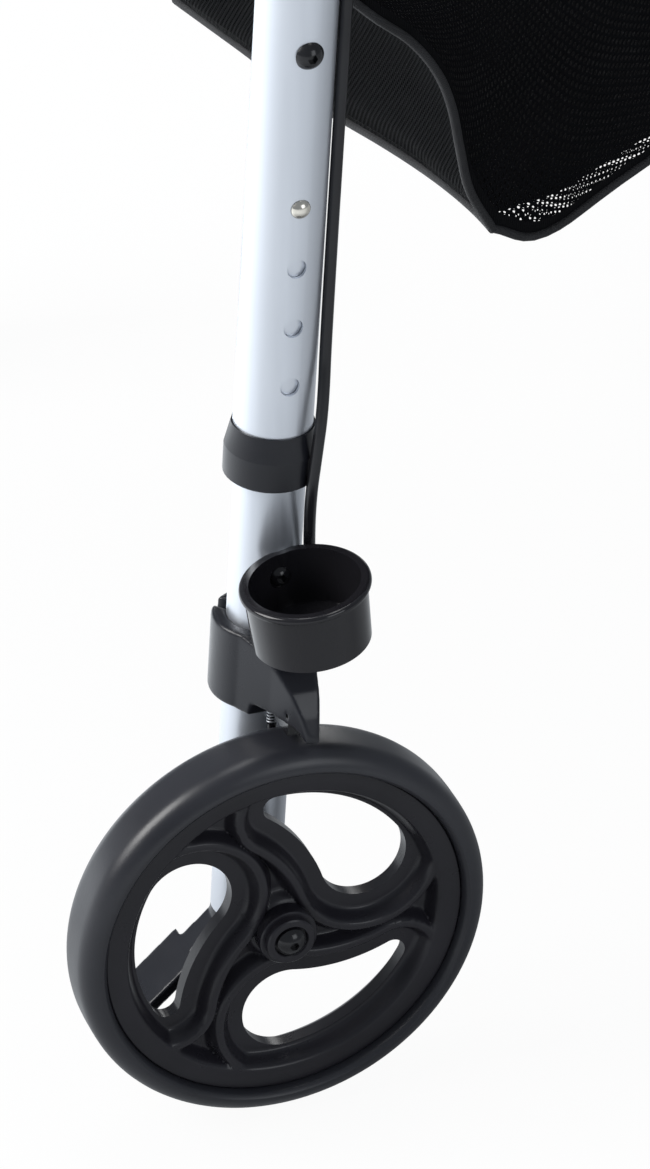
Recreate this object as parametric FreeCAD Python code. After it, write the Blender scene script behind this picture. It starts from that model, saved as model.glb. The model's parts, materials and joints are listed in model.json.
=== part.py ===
import FreeCAD, Part
import math
import os
from FreeCAD import Vector

# Rollator: a four-wheeled walking frame that folds side to side.
# Frame of the part: +X forward, +Y to the user's left, +Z up, origin on the floor under the middle.
# The right side is built at negative Y and the left side is its mirror image.
# "Leg frame": Z runs up a rear leg's tube axis, X forward, Y inboard, origin at axle height.

# Overall sizes
TRACK = 624.0
WHEELBASE = 520.0
WHEEL_R = 87.5
LEAN = 3.34
LEG_INSET = 34.5
OVERRUN = 1.0
RUNNING = 0.08
SLIDING = 0.2
PLAY = 0.3

# Tubes of the frame
COLUMN_R = 15.9
COLUMN_WALL = 1.4
LEG_R = 14.3
LEG_WALL = 1.6
COLUMN_TOP = 674.0
KNOB_BELOW_TOP = 19.0
LEG_BOTTOM = -15.0
HOLE_PITCH = 26.0
HOLE_COUNT = 4
BUTTON_R = 3.9
AXLE_R = 4.0

# Steps up the rear leg, each from the piece below it
CLAMP_GAP = 3.3
CLAMP_HEIGHT = 35.2
CUP_GAP = 9.1
CUP_DEPTH = 27.2
CUP_SCREW_DROP = 10.3
COLUMN_ABOVE_CUP = 33.4
END_BELOW_HOLES = 41.8
LEG_ABOVE_BUTTON = 24.5
DOME_ABOVE_BUTTON = 65.0

# Front leg, and the steps up it
TRAIL = 42.0
FORK_ROOF_GAP = 11.0
CROWN_HEIGHT = 13.7
FRONT_SLIDE = 83.3
PIVOT_ABOVE_END = 32.7
BAG_SCREW_ABOVE_BUTTON = 32.9
APEX_ABOVE_SCREW = 64.0
FRONT_BEND_R = 90.0
JOINT_HEIGHT = 640.0
STEM_HOUSING = 32.0
STEM_R = 5.0

# Handle
HANDLE_BOTTOM = 470.0
HANDLE_HEIGHT = 775.0
HANDLE_BEND_R = 45.0
GRIP_START = 70.0
GRIP_LENGTH = 102.0
GRIP_R = 17.5
GRIP_CAP = 5.0

# Cross brace and seat rails
PIVOT_INSET = 31.0
RAIL_Z = 520.0
RAIL_R = 11.0
RAIL_WALL = 1.8
BRACE_BACK = 32.0
ARM_THICK = 10.0
ARM_GAP = 4.0
ARM_HEIGHT = 24.0
EYE_R = 14.0
PIVOT_R = 5.0

# Derived places
TUBE_Y = TRACK / 2 - LEG_INSET
PIVOT_Y = TUBE_Y - PIVOT_INSET
HOLE_R = BUTTON_R + RUNNING
HOLE_SPAN = (HOLE_COUNT - 1) * HOLE_PITCH
CLAMP_BOTTOM = WHEEL_R + CLAMP_GAP
CLAMP_TOP = CLAMP_BOTTOM + CLAMP_HEIGHT
CUP_TOP = CLAMP_TOP + CUP_GAP + CUP_DEPTH
CUP_SCREW_HEIGHT = CUP_TOP - CUP_SCREW_DROP
COLUMN_BOTTOM = CUP_TOP + COLUMN_ABOVE_CUP
BUTTON_HEIGHT = COLUMN_BOTTOM + END_BELOW_HOLES + HOLE_SPAN
DOME_SCREW_HEIGHT = BUTTON_HEIGHT + DOME_ABOVE_BUTTON
LEG_TOP = BUTTON_HEIGHT + LEG_ABOVE_BUTTON
KNOB_HEIGHT = COLUMN_TOP - KNOB_BELOW_TOP
FORK_CROWN_Z = 2 * WHEEL_R + FORK_ROOF_GAP
FRONT_LEG_BOTTOM = FORK_CROWN_Z + CROWN_HEIGHT + PLAY
FRONT_TUBE_BOTTOM = FRONT_LEG_BOTTOM + FRONT_SLIDE
FRONT_BUTTON_Z = FRONT_TUBE_BOTTOM + END_BELOW_HOLES + HOLE_SPAN
FRONT_LEG_TOP = FRONT_BUTTON_Z + LEG_ABOVE_BUTTON
BAG_SCREW_Z = FRONT_BUTTON_Z + BAG_SCREW_ABOVE_BUTTON
FRONT_APEX_Z = BAG_SCREW_Z + APEX_ABOVE_SCREW
PIVOT_Z = FRONT_TUBE_BOTTOM + PIVOT_ABOVE_END
LEAN_SIN = math.sin(math.radians(LEAN))
LEAN_COS = math.cos(math.radians(LEAN))
GRIP_REACH = (GRIP_START + GRIP_LENGTH + GRIP_CAP) * LEAN_COS - HANDLE_HEIGHT * LEAN_SIN
AXLE_MID_X = (GRIP_REACH - WHEEL_R) / 2
REAR_X = AXLE_MID_X - WHEELBASE / 2
FRONT_X = AXLE_MID_X + WHEELBASE / 2
STEM_X = FRONT_X + TRAIL
COLUMN_BORE = COLUMN_R - COLUMN_WALL
LEG_BORE = LEG_R - LEG_WALL
BRACE_X = STEM_X - BRACE_BACK
UP = Vector(0, 0, 1)
FORWARD = Vector(1, 0, 0)
INBOARD = Vector(0, 1, 0)
ORIGIN = Vector(0, 0, 0)


def cylinder(radius, length, base, axis=UP):
    return Part.makeCylinder(radius, length, Vector(*base), axis)


def ring(outer, inner, length, base, axis=UP):
    start = Vector(*base) - axis * OVERRUN
    bore = Part.makeCylinder(inner, length + 2 * OVERRUN, start, axis)
    return cylinder(outer, length, base, axis).cut(bore)


def block(low, high):
    size = Vector(*high) - Vector(*low)
    return Part.makeBox(size.x, size.y, size.z, Vector(*low))


def prism(points, along):
    """Solid swept straight along a vector from a closed outline."""
    corners = [Vector(*p) for p in points]
    return Part.Face(Part.makePolygon(corners + corners[:1])).extrude(along)


def plate_xz(outline, y, depth):
    return prism([(x, y, z) for x, z in outline], INBOARD * depth)


def plate_xy(outline, z, depth):
    return prism([(x, y, z) for x, y in outline], UP * depth)


def plate_yz(outline, x, depth):
    return prism([(x, y, z) for y, z in outline], FORWARD * depth)


def joined(first, *others):
    shape = first.fuse(list(others)) if others else first
    return shape.removeSplitter()


def lathe(outline, axis=INBOARD):
    """Solid turned about Y or Z through the origin, from (radius, distance along) points."""
    points = [FORWARD * r + axis * a for r, a in outline]
    return Part.Face(Part.makePolygon(points + points[:1])).revolve(ORIGIN, axis, 360)


def moved(shape, x, y, z):
    copy = shape.copy()
    copy.translate(Vector(x, y, z))
    return copy


def turned(shape, angle, axis, centre=ORIGIN):
    copy = shape.copy()
    copy.rotate(centre, axis, angle)
    return copy


def on_leg(shape):
    """Moves a shape from the leg frame to its place on the right rear leg."""
    return moved(turned(shape, LEAN, INBOARD), REAR_X, -TUBE_Y, WHEEL_R)


def leg_point(height, forward=0.0):
    """X and Z in the part's frame of a point of the leg frame."""
    x = REAR_X + height * LEAN_SIN + forward * LEAN_COS
    return x, WHEEL_R + height * LEAN_COS - forward * LEAN_SIN


def pipe(path, radius):
    start = path.Edges[0].valueAt(path.Edges[0].FirstParameter)
    along = path.Edges[0].tangentAt(path.Edges[0].FirstParameter)
    circle = Part.Wire(Part.makeCircle(radius, start, along))
    return path.makePipeShell([circle], True, False)


def rounded_path(points, radii):
    """Straight runs through the points, joined by tangent arcs of the given radii."""
    corners = [Vector(*p) for p in points]
    edges = []
    last = corners[0]
    for here, corner, there, radius in zip(corners, corners[1:], corners[2:], radii):
        back = (here - corner).normalize()
        ahead = (there - corner).normalize()
        half = back.getAngle(ahead) / 2
        reach = radius / math.tan(half)
        middle = (back + ahead).normalize() * (radius / math.sin(half) - radius)
        first = corner + back * reach
        second = corner + ahead * reach
        edges.append(Part.LineSegment(last, first).toShape())
        edges.append(Part.Arc(first, corner + middle, second).toShape())
        last = second
    edges.append(Part.LineSegment(last, corners[-1]).toShape())
    return Part.Wire(edges)


def bent_tube(points, radii, outer, bore):
    path = rounded_path(points, radii)
    return pipe(path, outer).cut(pipe(path, bore))


# Rear leg, column and what slides in them

def adjusting_holes(top):
    holes = []
    for i in range(HOLE_COUNT):
        holes.append(cylinder(HOLE_R, COLUMN_R + OVERRUN, (0, 0, top - i * HOLE_PITCH), -INBOARD))
    return holes


SCREW_SHANK_R = 3.0
SCREW_HEAD_R = 5.7
SCREW_HEAD_H = 3.6
HEX_KEY_R = 2.0
HEX_KEY_DEPTH = 2.0
NUT_R = 5.5
NUT_H = 5.0


def hexagon(radius, depth, base, axis):
    """Hexagonal prism whose corners lie on a circle, standing on a base point along an axis."""
    side = axis.cross(UP) if abs(axis.z) < 0.5 else FORWARD
    other = axis.cross(side)
    points = []
    for i in range(6):
        angle = math.radians(60 * i)
        points.append(Vector(*base) + side * radius * math.cos(angle) + other * radius * math.sin(angle))
    return Part.Face(Part.makePolygon(points + points[:1])).extrude(axis * depth)


def dome_screw(base, axis, shank, head_r=SCREW_HEAD_R, shank_r=SCREW_SHANK_R, head_h=SCREW_HEAD_H):
    """Dome head with a hexagonal key socket. The shank runs from the base against the axis."""
    start = Vector(*base)
    side = UP if abs(axis.z) < 0.5 else FORWARD
    dome_r = (head_r ** 2 + head_h ** 2) / (2 * head_h)
    centre = start + axis * (head_h - dome_r)
    half = math.asin(head_r / dome_r) / 2
    edge = start + side * head_r
    middle = centre + (axis * math.cos(half) + side * math.sin(half)) * dome_r
    top = start + axis * head_h
    outline = [Part.LineSegment(start, edge), Part.Arc(edge, middle, top), Part.LineSegment(top, start)]
    head = Part.Face(Part.Wire([e.toShape() for e in outline])).revolve(start, axis, 360)
    key = hexagon(HEX_KEY_R, HEX_KEY_DEPTH + OVERRUN, start + axis * (head_h - HEX_KEY_DEPTH), axis)
    shaft = Part.makeCylinder(shank_r, shank, start, -axis)
    return head.fuse(shaft).cut(key)


def nut_with_bore(base, axis, radius, height, bore):
    hole = Part.makeCylinder(bore, height + 2 * OVERRUN, Vector(*base) - axis * OVERRUN, axis)
    return hexagon(radius, height, base, axis).cut(hole)


def make_column():
    tube = ring(COLUMN_R, COLUMN_BORE, COLUMN_TOP - COLUMN_BOTTOM, (0, 0, COLUMN_BOTTOM))
    boss = cylinder(KNOB_BOSS_R, COLUMN_R + KNOB_BOSS_H, (0, 0, KNOB_HEIGHT), -INBOARD)
    boss = boss.cut(cylinder(COLUMN_BORE, 4 * KNOB_BOSS_R, (0, 0, KNOB_HEIGHT - 2 * KNOB_BOSS_R)))
    thread = cylinder(KNOB_SCREW_R + RUNNING, 2 * COLUMN_R + KNOB_BOSS_H, (0, 0, KNOB_HEIGHT), -INBOARD)
    through = cylinder(SCREW_SHANK_R, 4 * COLUMN_R, (0, -2 * COLUMN_R, DOME_SCREW_HEIGHT), INBOARD)
    tube = tube.fuse(boss)
    return tube.cut(adjusting_holes(BUTTON_HEIGHT) + [thread, through])


def make_rear_leg():
    tube = ring(LEG_R, LEG_BORE, LEG_TOP - LEG_BOTTOM, (0, 0, LEG_BOTTOM))
    button = cylinder(HOLE_R, LEG_R + OVERRUN, (0, 0, BUTTON_HEIGHT), -INBOARD)
    axle = cylinder(AXLE_R, 4 * LEG_R, (0, -2 * LEG_R, 0), INBOARD)
    cup_screw = cylinder(CUP_SCREW_R, LEG_R + OVERRUN, (0, 0, CUP_SCREW_HEIGHT), -INBOARD)
    return tube.cut([button, axle, cup_screw])


BUTTON_PROUD = 2.4
BUTTON_RISE = 2.1
BUTTON_FLANGE_R = 5.2
BUTTON_FLANGE_H = 1.2
CLIP_WIDTH = 8.0
CLIP_THICK = 0.9
CLIP_LENGTH = 34.0
CLIP_GAP = 1.4


def make_snap_clip(height):
    """Button with a domed end on the tip of a bent leaf spring that lies inside the leg."""
    flange_y = -LEG_BORE + CLIP_GAP + BUTTON_FLANGE_H
    tip = COLUMN_R + BUTTON_PROUD
    pin = cylinder(BUTTON_R, tip + flange_y, (0, flange_y, 0), -INBOARD)
    dome_r = (BUTTON_R ** 2 + BUTTON_RISE ** 2) / (2 * BUTTON_RISE)
    ball = Part.makeSphere(dome_r, Vector(0, -tip + dome_r, 0))
    inner_half = block((-BUTTON_R, BUTTON_RISE - tip, -BUTTON_R), (BUTTON_R, flange_y, BUTTON_R))
    pin = pin.common(ball.fuse(inner_half))
    flange = cylinder(BUTTON_FLANGE_R, BUTTON_FLANGE_H, (0, flange_y, 0), -INBOARD)
    front = flange_y
    back = LEG_BORE / 2
    low = -CLIP_LENGTH
    bend = low - CLIP_WIDTH / 2
    leaf = [(front, 0), (front, low), (front + CLIP_WIDTH, bend), (back, low / 2)]
    inner = [(back - CLIP_THICK, low / 2), (front + CLIP_WIDTH, bend + CLIP_THICK)]
    inner += [(front + CLIP_THICK, low + CLIP_THICK), (front + CLIP_THICK, 0)]
    spring = plate_yz(leaf + inner, -CLIP_WIDTH / 2, CLIP_WIDTH)
    return moved(joined(pin, flange, spring), 0, 0, height)


COLLAR_HEIGHT = 23.0
COLLAR_R = 18.9
COLLAR_LIP = 4.3
COLLAR_SLOT = 7.0
COLLAR_SLOT_ANGLE = 150.0
COLLAR_EDGE = 0.8
COLLAR_TAPER = 10.0


def make_collar(bottom):
    """Open plastic ring, thin at its upper edge, that ends an outer tube and guides the inner one."""
    outline = [
        (LEG_BORE, 0), (COLLAR_R - COLLAR_EDGE, 0), (COLLAR_R, COLLAR_EDGE),
        (COLLAR_R, COLLAR_HEIGHT - COLLAR_TAPER), (COLUMN_R + COLLAR_EDGE, COLLAR_HEIGHT),
        (LEG_BORE, COLLAR_HEIGHT),
    ]
    body = moved(lathe(outline, UP), 0, 0, bottom)
    seat = cylinder(COLUMN_R, COLLAR_HEIGHT, (0, 0, bottom + COLLAR_LIP))
    bore = cylinder(LEG_R + SLIDING, COLLAR_HEIGHT, (0, 0, bottom - OVERRUN))
    slot_top = (2 * COLLAR_R, COLLAR_SLOT / 2, bottom + 2 * COLLAR_HEIGHT)
    slot = block((0, -COLLAR_SLOT / 2, bottom - OVERRUN), slot_top)
    slot = turned(slot, COLLAR_SLOT_ANGLE, UP)
    return body.cut([seat, bore, slot])


# Wheel on the rear axle

TYRE_HALF_WIDTH = 15.0
TREAD_HALF = 5.7
SHOULDER_DROP = 2.9
SHOULDER_HALF = 12.8
BULGE_DROP = 7.2
LIP_DROP = 10.7
LIP_HALF = 11.2
FLANGE_STEP = 0.2
FLANGE_HALF = 10.2
FLANGE_THICK = 2.3
FLANGE_DEPTH = 4.6
RING_WALL = 5.0
RING_TO_WINDOW = 5.0
LIP_R = WHEEL_R - LIP_DROP
FLANGE_R = LIP_R - FLANGE_STEP
SEAT_R = FLANGE_R - FLANGE_DEPTH
RING_R = SEAT_R - RING_WALL
WEB_HALF = 2.5
HUB_R = 12.3
HUB_HALF = 14.5
CAP_R = 10.3
CAP_HALF = 17.5
WINDOW_R = RING_R - RING_TO_WINDOW
WINDOW_HEAD_R = 18.5
WINDOW_HEAD_ANGLE = 33.0
WINDOW_TAIL_R = 5.5
WINDOW_TAIL_ANGLE = 91.0
WINDOW_WAIST_R = 70.0
WINDOW_COUNT = 3
BAND = 7.5
RIDGE_WIDTH = 7.0
RIDGE_HALF = 8.0
RIDGE_CREST = 3.2
RIDGE_CREST_HALF = 10.0


def polar(radius, angle):
    return Vector(radius * math.cos(math.radians(angle)), 0, radius * math.sin(math.radians(angle)))


def heading(vector):
    return math.degrees(math.atan2(vector.z, vector.x))


def window(grow, half):
    """Bean-shaped prism of a window in the web, its outline grown outwards by a distance."""
    head = polar(WINDOW_R - WINDOW_HEAD_R, WINDOW_HEAD_ANGLE)
    tail = polar(WINDOW_R - WINDOW_TAIL_R, WINDOW_TAIL_ANGLE)
    to_head = WINDOW_WAIST_R + WINDOW_HEAD_R
    to_tail = WINDOW_WAIST_R + WINDOW_TAIL_R
    gap = (tail - head).Length
    along = (gap ** 2 + to_head ** 2 - to_tail ** 2) / (2 * gap)
    step = (tail - head).normalize()
    hubward = Vector(-step.z, 0, step.x)
    waist = head + step * along + hubward * math.sqrt(to_head ** 2 - along ** 2)
    outer_r = WINDOW_R + grow
    waist_r = WINDOW_WAIST_R - grow
    a_head = heading(head - waist)
    a_tail = heading(tail - waist)
    arcs = [
        (ORIGIN, outer_r, WINDOW_HEAD_ANGLE, WINDOW_TAIL_ANGLE),
        (tail, WINDOW_TAIL_R + grow, WINDOW_TAIL_ANGLE, a_tail + 180),
        (waist, waist_r, a_tail, a_head),
        (head, WINDOW_HEAD_R + grow, a_head + 180, WINDOW_HEAD_ANGLE + 360),
    ]
    edges = []
    for centre, radius, start, end in arcs:
        points = [centre + polar(radius, a) for a in (start, (start + end) / 2, end)]
        edges.append(Part.Arc(*points).toShape())
    face = Part.Face(Part.Wire(edges))
    return moved(face.extrude(INBOARD * 2 * half), 0, -half, 0)


def make_rim():
    """Hub, web with three windows, rounded walls around them and the ring under the tyre."""
    half = [
        (AXLE_R + RUNNING, CAP_HALF), (CAP_R, CAP_HALF), (CAP_R, HUB_HALF), (HUB_R, HUB_HALF),
        (HUB_R, WEB_HALF), (RING_R, WEB_HALF), (RING_R, FLANGE_HALF), (FLANGE_R, FLANGE_HALF),
        (FLANGE_R, FLANGE_HALF - FLANGE_THICK), (SEAT_R, FLANGE_HALF - FLANGE_THICK),
    ]
    other = [(r, -a) for r, a in reversed(half)]
    body = lathe(half + other)
    inside = cylinder(RING_R + OVERRUN, 4 * RIDGE_CREST_HALF, (0, -2 * RIDGE_CREST_HALF, 0), INBOARD)
    hole = cylinder(AXLE_R + RUNNING, 4 * CAP_HALF, (0, -2 * CAP_HALF, 0), INBOARD)
    walls = []
    cuts = [hole]
    edge = (RIDGE_WIDTH - RIDGE_CREST) / 2
    for i in range(WINDOW_COUNT):
        angle = -i * 360 / WINDOW_COUNT
        low = window(BAND + RIDGE_WIDTH, RIDGE_HALF).cut(window(BAND, 2 * RIDGE_HALF))
        high = window(BAND + RIDGE_WIDTH - edge, RIDGE_CREST_HALF).cut(window(BAND + edge, 2 * RIDGE_HALF))
        walls.append(turned(low.fuse(high).common(inside), angle, INBOARD))
        cuts.append(turned(window(0, 2 * RIDGE_HALF), angle, INBOARD))
    return joined(body, *walls).cut(cuts)


def make_tyre():
    inner_half = FLANGE_HALF - FLANGE_THICK
    tread = [Vector(WHEEL_R, -TREAD_HALF, 0), Vector(WHEEL_R, TREAD_HALF, 0)]
    edges = [Part.LineSegment(*tread).toShape()]
    for side in (1, -1):
        start = Vector(WHEEL_R, side * TREAD_HALF, 0)
        shoulder = Vector(WHEEL_R - SHOULDER_DROP, side * SHOULDER_HALF, 0)
        bulge = Vector(WHEEL_R - BULGE_DROP, side * TYRE_HALF_WIDTH, 0)
        lip = Vector(LIP_R, side * LIP_HALF, 0)
        corner = Vector(LIP_R, side * inner_half, 0)
        seat = Vector(SEAT_R, side * inner_half, 0)
        edges.append(Part.Arc(start, shoulder, bulge).toShape())
        edges.append(Part.LineSegment(bulge, lip).toShape())
        edges.append(Part.LineSegment(lip, corner).toShape())
        edges.append(Part.LineSegment(corner, seat).toShape())
    edges.append(Part.LineSegment(Vector(SEAT_R, inner_half, 0), Vector(SEAT_R, -inner_half, 0)).toShape())
    outline = Part.Wire(Part.__sortEdges__(edges))
    return Part.Face(outline).revolve(ORIGIN, INBOARD, 360)


WASHER_R = 7.0
AXLE_HEAD_R = 6.2
AXLE_HEAD_H = 3.4
AXLE_NUT_R = 7.3
AXLE_NUT_H = 6.0


def make_rear_axle():
    """Dome-headed bolt through the wheel and the leg, with a spacer and a nut, in the leg frame."""
    head_y = -LEG_INSET - CAP_HALF - PLAY
    end_y = LEG_R + AXLE_NUT_H
    bolt = dome_screw((0, head_y, 0), -INBOARD, end_y - head_y, AXLE_HEAD_R, AXLE_R, AXLE_HEAD_H)
    start = -LEG_INSET + CAP_HALF + PLAY
    spacer = cylinder(WASHER_R, -start, (0, start, 0), INBOARD)
    spacer = spacer.cut(cylinder(LEG_R, 4 * WASHER_R, (0, 0, -2 * WASHER_R)))
    nut = hexagon(AXLE_NUT_R, AXLE_NUT_H, (0, LEG_R, 0), INBOARD)
    return joined(bolt, spacer, nut)


# Brake on the rear wheel

CLAMP_R = 20.3
CLAMP_SLOT = 6.0
CLAMP_SLOT_ANGLE = 140.0
CLAMP_EDGE = 1.0
CABLE_R = 2.4
STOP_R = 4.2
STOP_HEIGHT = 12.0
STOP_FORWARD = 16.6
STOP_OUT = 8.6
FIN_REAR = ((-14.9, -13.8), (-6.4, -29.0), (-1.2, -40.0), (3.0, -47.5))
FIN_FRONT = ((8.0, -48.5), (10.5, -40.0), (15.0, -13.8))
FIN_RIDGE = ((-13.0, 35.2), (-22.0, 32.7), (-32.0, 26.2), (-39.0, 19.7), (-44.5, 11.2), (-48.5, 2.2))
FIN_UNDERCUT = ((-48.5, 0), (-46.0, 1.3), (-43.0, 4.0), (-40.0, 5.0), (-29.0, 6.0), (-21.0, 6.0), (-19.8, 0))
SHOE_LOW = (-1.6, -38.0)
SHOE_HIGH = (7.0, -22.0)
SHOE_GAP = 3.1
SHOE_DEPTH = 11.4
SHOE_BOTTOM = WHEEL_R + SHOE_GAP
SHOE_TOP = SHOE_BOTTOM + SHOE_DEPTH
SPRING_OUT = 17.3
SPRING_R = 1.95
SPRING_WIRE = 0.45
SPRING_TURNS = 4
SPRING_PITCH = 1.7
ROD_R = 0.9
CRIMP_R = 1.9
CRIMP_H = 2.4


def make_brake_housing():
    """Open clamp on the leg with a fin that reaches out over the tyre and holds the brake shoe."""
    clamp = cylinder(CLAMP_R, CLAMP_TOP - CLAMP_BOTTOM, (0, 0, CLAMP_BOTTOM))
    clamp = clamp.makeChamfer(CLAMP_EDGE, clamp.Edges)
    plan = plate_xy(FIN_REAR + FIN_FRONT, CLAMP_BOTTOM, CLAMP_TOP - CLAMP_BOTTOM)
    ridge = [(y, CLAMP_BOTTOM + rise) for y, rise in FIN_RIDGE]
    side = ridge + [(ridge[-1][0], CLAMP_BOTTOM), (0, CLAMP_BOTTOM), (0, ridge[0][1])]
    fin = plan.common(plate_yz(side, -CLAMP_R, 2 * CLAMP_R))
    under = [(y, CLAMP_BOTTOM + rise) for y, rise in FIN_UNDERCUT]
    under += [(FIN_UNDERCUT[-1][0], 0), (FIN_UNDERCUT[0][0], 0)]
    undercut = plate_yz(under, -CLAMP_R, 2 * CLAMP_R)
    stop = cylinder(STOP_R, STOP_HEIGHT, (STOP_FORWARD, -STOP_OUT, CLAMP_TOP - STOP_HEIGHT))
    body = clamp.fuse([fin, stop])
    slot = block((0, -CLAMP_SLOT / 2, 0), (2 * CLAMP_R, CLAMP_SLOT / 2, 2 * CLAMP_TOP))
    leg = cylinder(LEG_R, 2 * CLAMP_TOP, (0, 0, 0))
    low = (SHOE_LOW[0] - PLAY, SHOE_LOW[1] - PLAY, 0)
    high = (SHOE_HIGH[0] + PLAY, SHOE_HIGH[1] + PLAY, SHOE_TOP + PLAY)
    bore_r = CABLE_R - PLAY
    bore = cylinder(bore_r, 2 * STOP_HEIGHT, (STOP_FORWARD, -STOP_OUT, CLAMP_TOP - STOP_HEIGHT / 2))
    way = block((-ROD_R - PLAY, SHOE_HIGH[1], 0), (ROD_R + PLAY, ROD_R + PLAY - SPRING_OUT, high[2]))
    return body.cut([leg, turned(slot, CLAMP_SLOT_ANGLE, UP), undercut, block(low, high), bore, way])


def make_brake_shoe():
    """Block that is pushed down on the tread, with the pull rod that carries the return spring."""
    shoe = block((SHOE_LOW[0], SHOE_LOW[1], SHOE_BOTTOM), (SHOE_HIGH[0], SHOE_HIGH[1], SHOE_TOP))
    end = CLAMP_BOTTOM - SPRING_TURNS * SPRING_PITCH - PLAY
    rod = cylinder(ROD_R, SHOE_TOP - end, (0, -SPRING_OUT, end - CRIMP_H))
    crimp = cylinder(CRIMP_R, CRIMP_H, (0, -SPRING_OUT, end - CRIMP_H))
    bridge_top = SHOE_TOP - OVERRUN
    bridge_low = (-ROD_R, SHOE_HIGH[1] - OVERRUN, bridge_top - 2 * ROD_R)
    bridge = block(bridge_low, (ROD_R, -SPRING_OUT, bridge_top))
    return joined(shoe, rod, crimp, bridge)


def make_brake_spring():
    """Small compression spring round the pull rod, swept along quarter turns."""
    start = CLAMP_BOTTOM - SPRING_TURNS * SPRING_PITCH - PLAY / 2
    centre = Vector(0, -SPRING_OUT, start + SPRING_WIRE)
    rise = SPRING_TURNS * SPRING_PITCH - 2 * SPRING_WIRE - PLAY / 2
    steps = 4 * SPRING_TURNS

    def at(share):
        angle = 2 * math.pi * SPRING_TURNS * share
        round_off = Vector(math.cos(angle), math.sin(angle), 0) * SPRING_R
        return centre + round_off + UP * rise * share

    edges = []
    for i in range(steps):
        edges.append(Part.Arc(at(i / steps), at((i + 0.5) / steps), at((i + 1) / steps)).toShape())
    near = min((at(i / steps) - at((i + 4) / steps)).Length for i in range(steps - 3))
    print("brake spring least gap", round(near - 2 * SPRING_WIRE, 2))
    return pipe(Part.Wire(edges), SPRING_WIRE)


PEDAL_CAP_H = 3.5
PEDAL_PLUG_TOP = -5.2
PEDAL_HALF_WIDTH = 12.0
PEDAL_NECK_HALF = 6.0
PEDAL_NECK_END = -25.0
PEDAL_THICK = 5.0
PEDAL_NEAR = (6.0, -17.0)
PEDAL_TOE = (-11.5, -16.2)
PEDAL_FAR = (-50.0, -54.8)
PEDAL_DROP = (3.5, -3.7)


def make_kerb_pedal():
    """Plug in the leg's lower end with a neck and a flat plate that slopes back and down for the foot."""
    plug = cylinder(LEG_BORE - SLIDING, PEDAL_PLUG_TOP - LEG_BOTTOM, (0, 0, LEG_BOTTOM))
    cap = cylinder(LEG_R, PEDAL_CAP_H, (0, 0, LEG_BOTTOM - PEDAL_CAP_H))
    lower_far = (PEDAL_FAR[0] + PEDAL_DROP[0], PEDAL_FAR[1] + PEDAL_DROP[1])
    lower_near = (PEDAL_NEAR[0], PEDAL_NEAR[1] - PEDAL_THICK)
    lower_toe = (PEDAL_TOE[0] + PEDAL_THICK / 2, PEDAL_TOE[1] - PEDAL_THICK)
    outline = [PEDAL_NEAR, PEDAL_TOE, PEDAL_FAR, lower_far, lower_toe, lower_near]
    neck = plate_xz(outline, -PEDAL_NECK_HALF, 2 * PEDAL_NECK_HALF)
    wide = plate_xz(outline, -PEDAL_HALF_WIDTH, 2 * PEDAL_HALF_WIDTH)
    far = (2 * PEDAL_FAR[0], -PEDAL_HALF_WIDTH, 2 * PEDAL_FAR[1])
    zone = block(far, (PEDAL_NECK_END, PEDAL_HALF_WIDTH, 0))
    return joined(plug, cap, neck, wide.common(zone))


# Cup that holds the tip of a walking cane

CUP_R = 24.6
CUP_FOOT_R = 23.6
CUP_WALL = 2.3
CUP_OUT = 38.5
CUP_FORWARD = 3.3
CUP_BEAD_R = 1.7
CUP_TILT = -10.0
SADDLE_WALL = 2.4
SADDLE_HALF = 7.5
CUP_SCREW_R = 2.5
CUP_SCREW_HEAD_R = 4.4
CUP_SCREW_HEAD_H = 2.6
CUP_SCREW_LENGTH = 6.0
CUP_SCREW_SEAT = LEG_R + SADDLE_WALL - SLIDING


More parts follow.
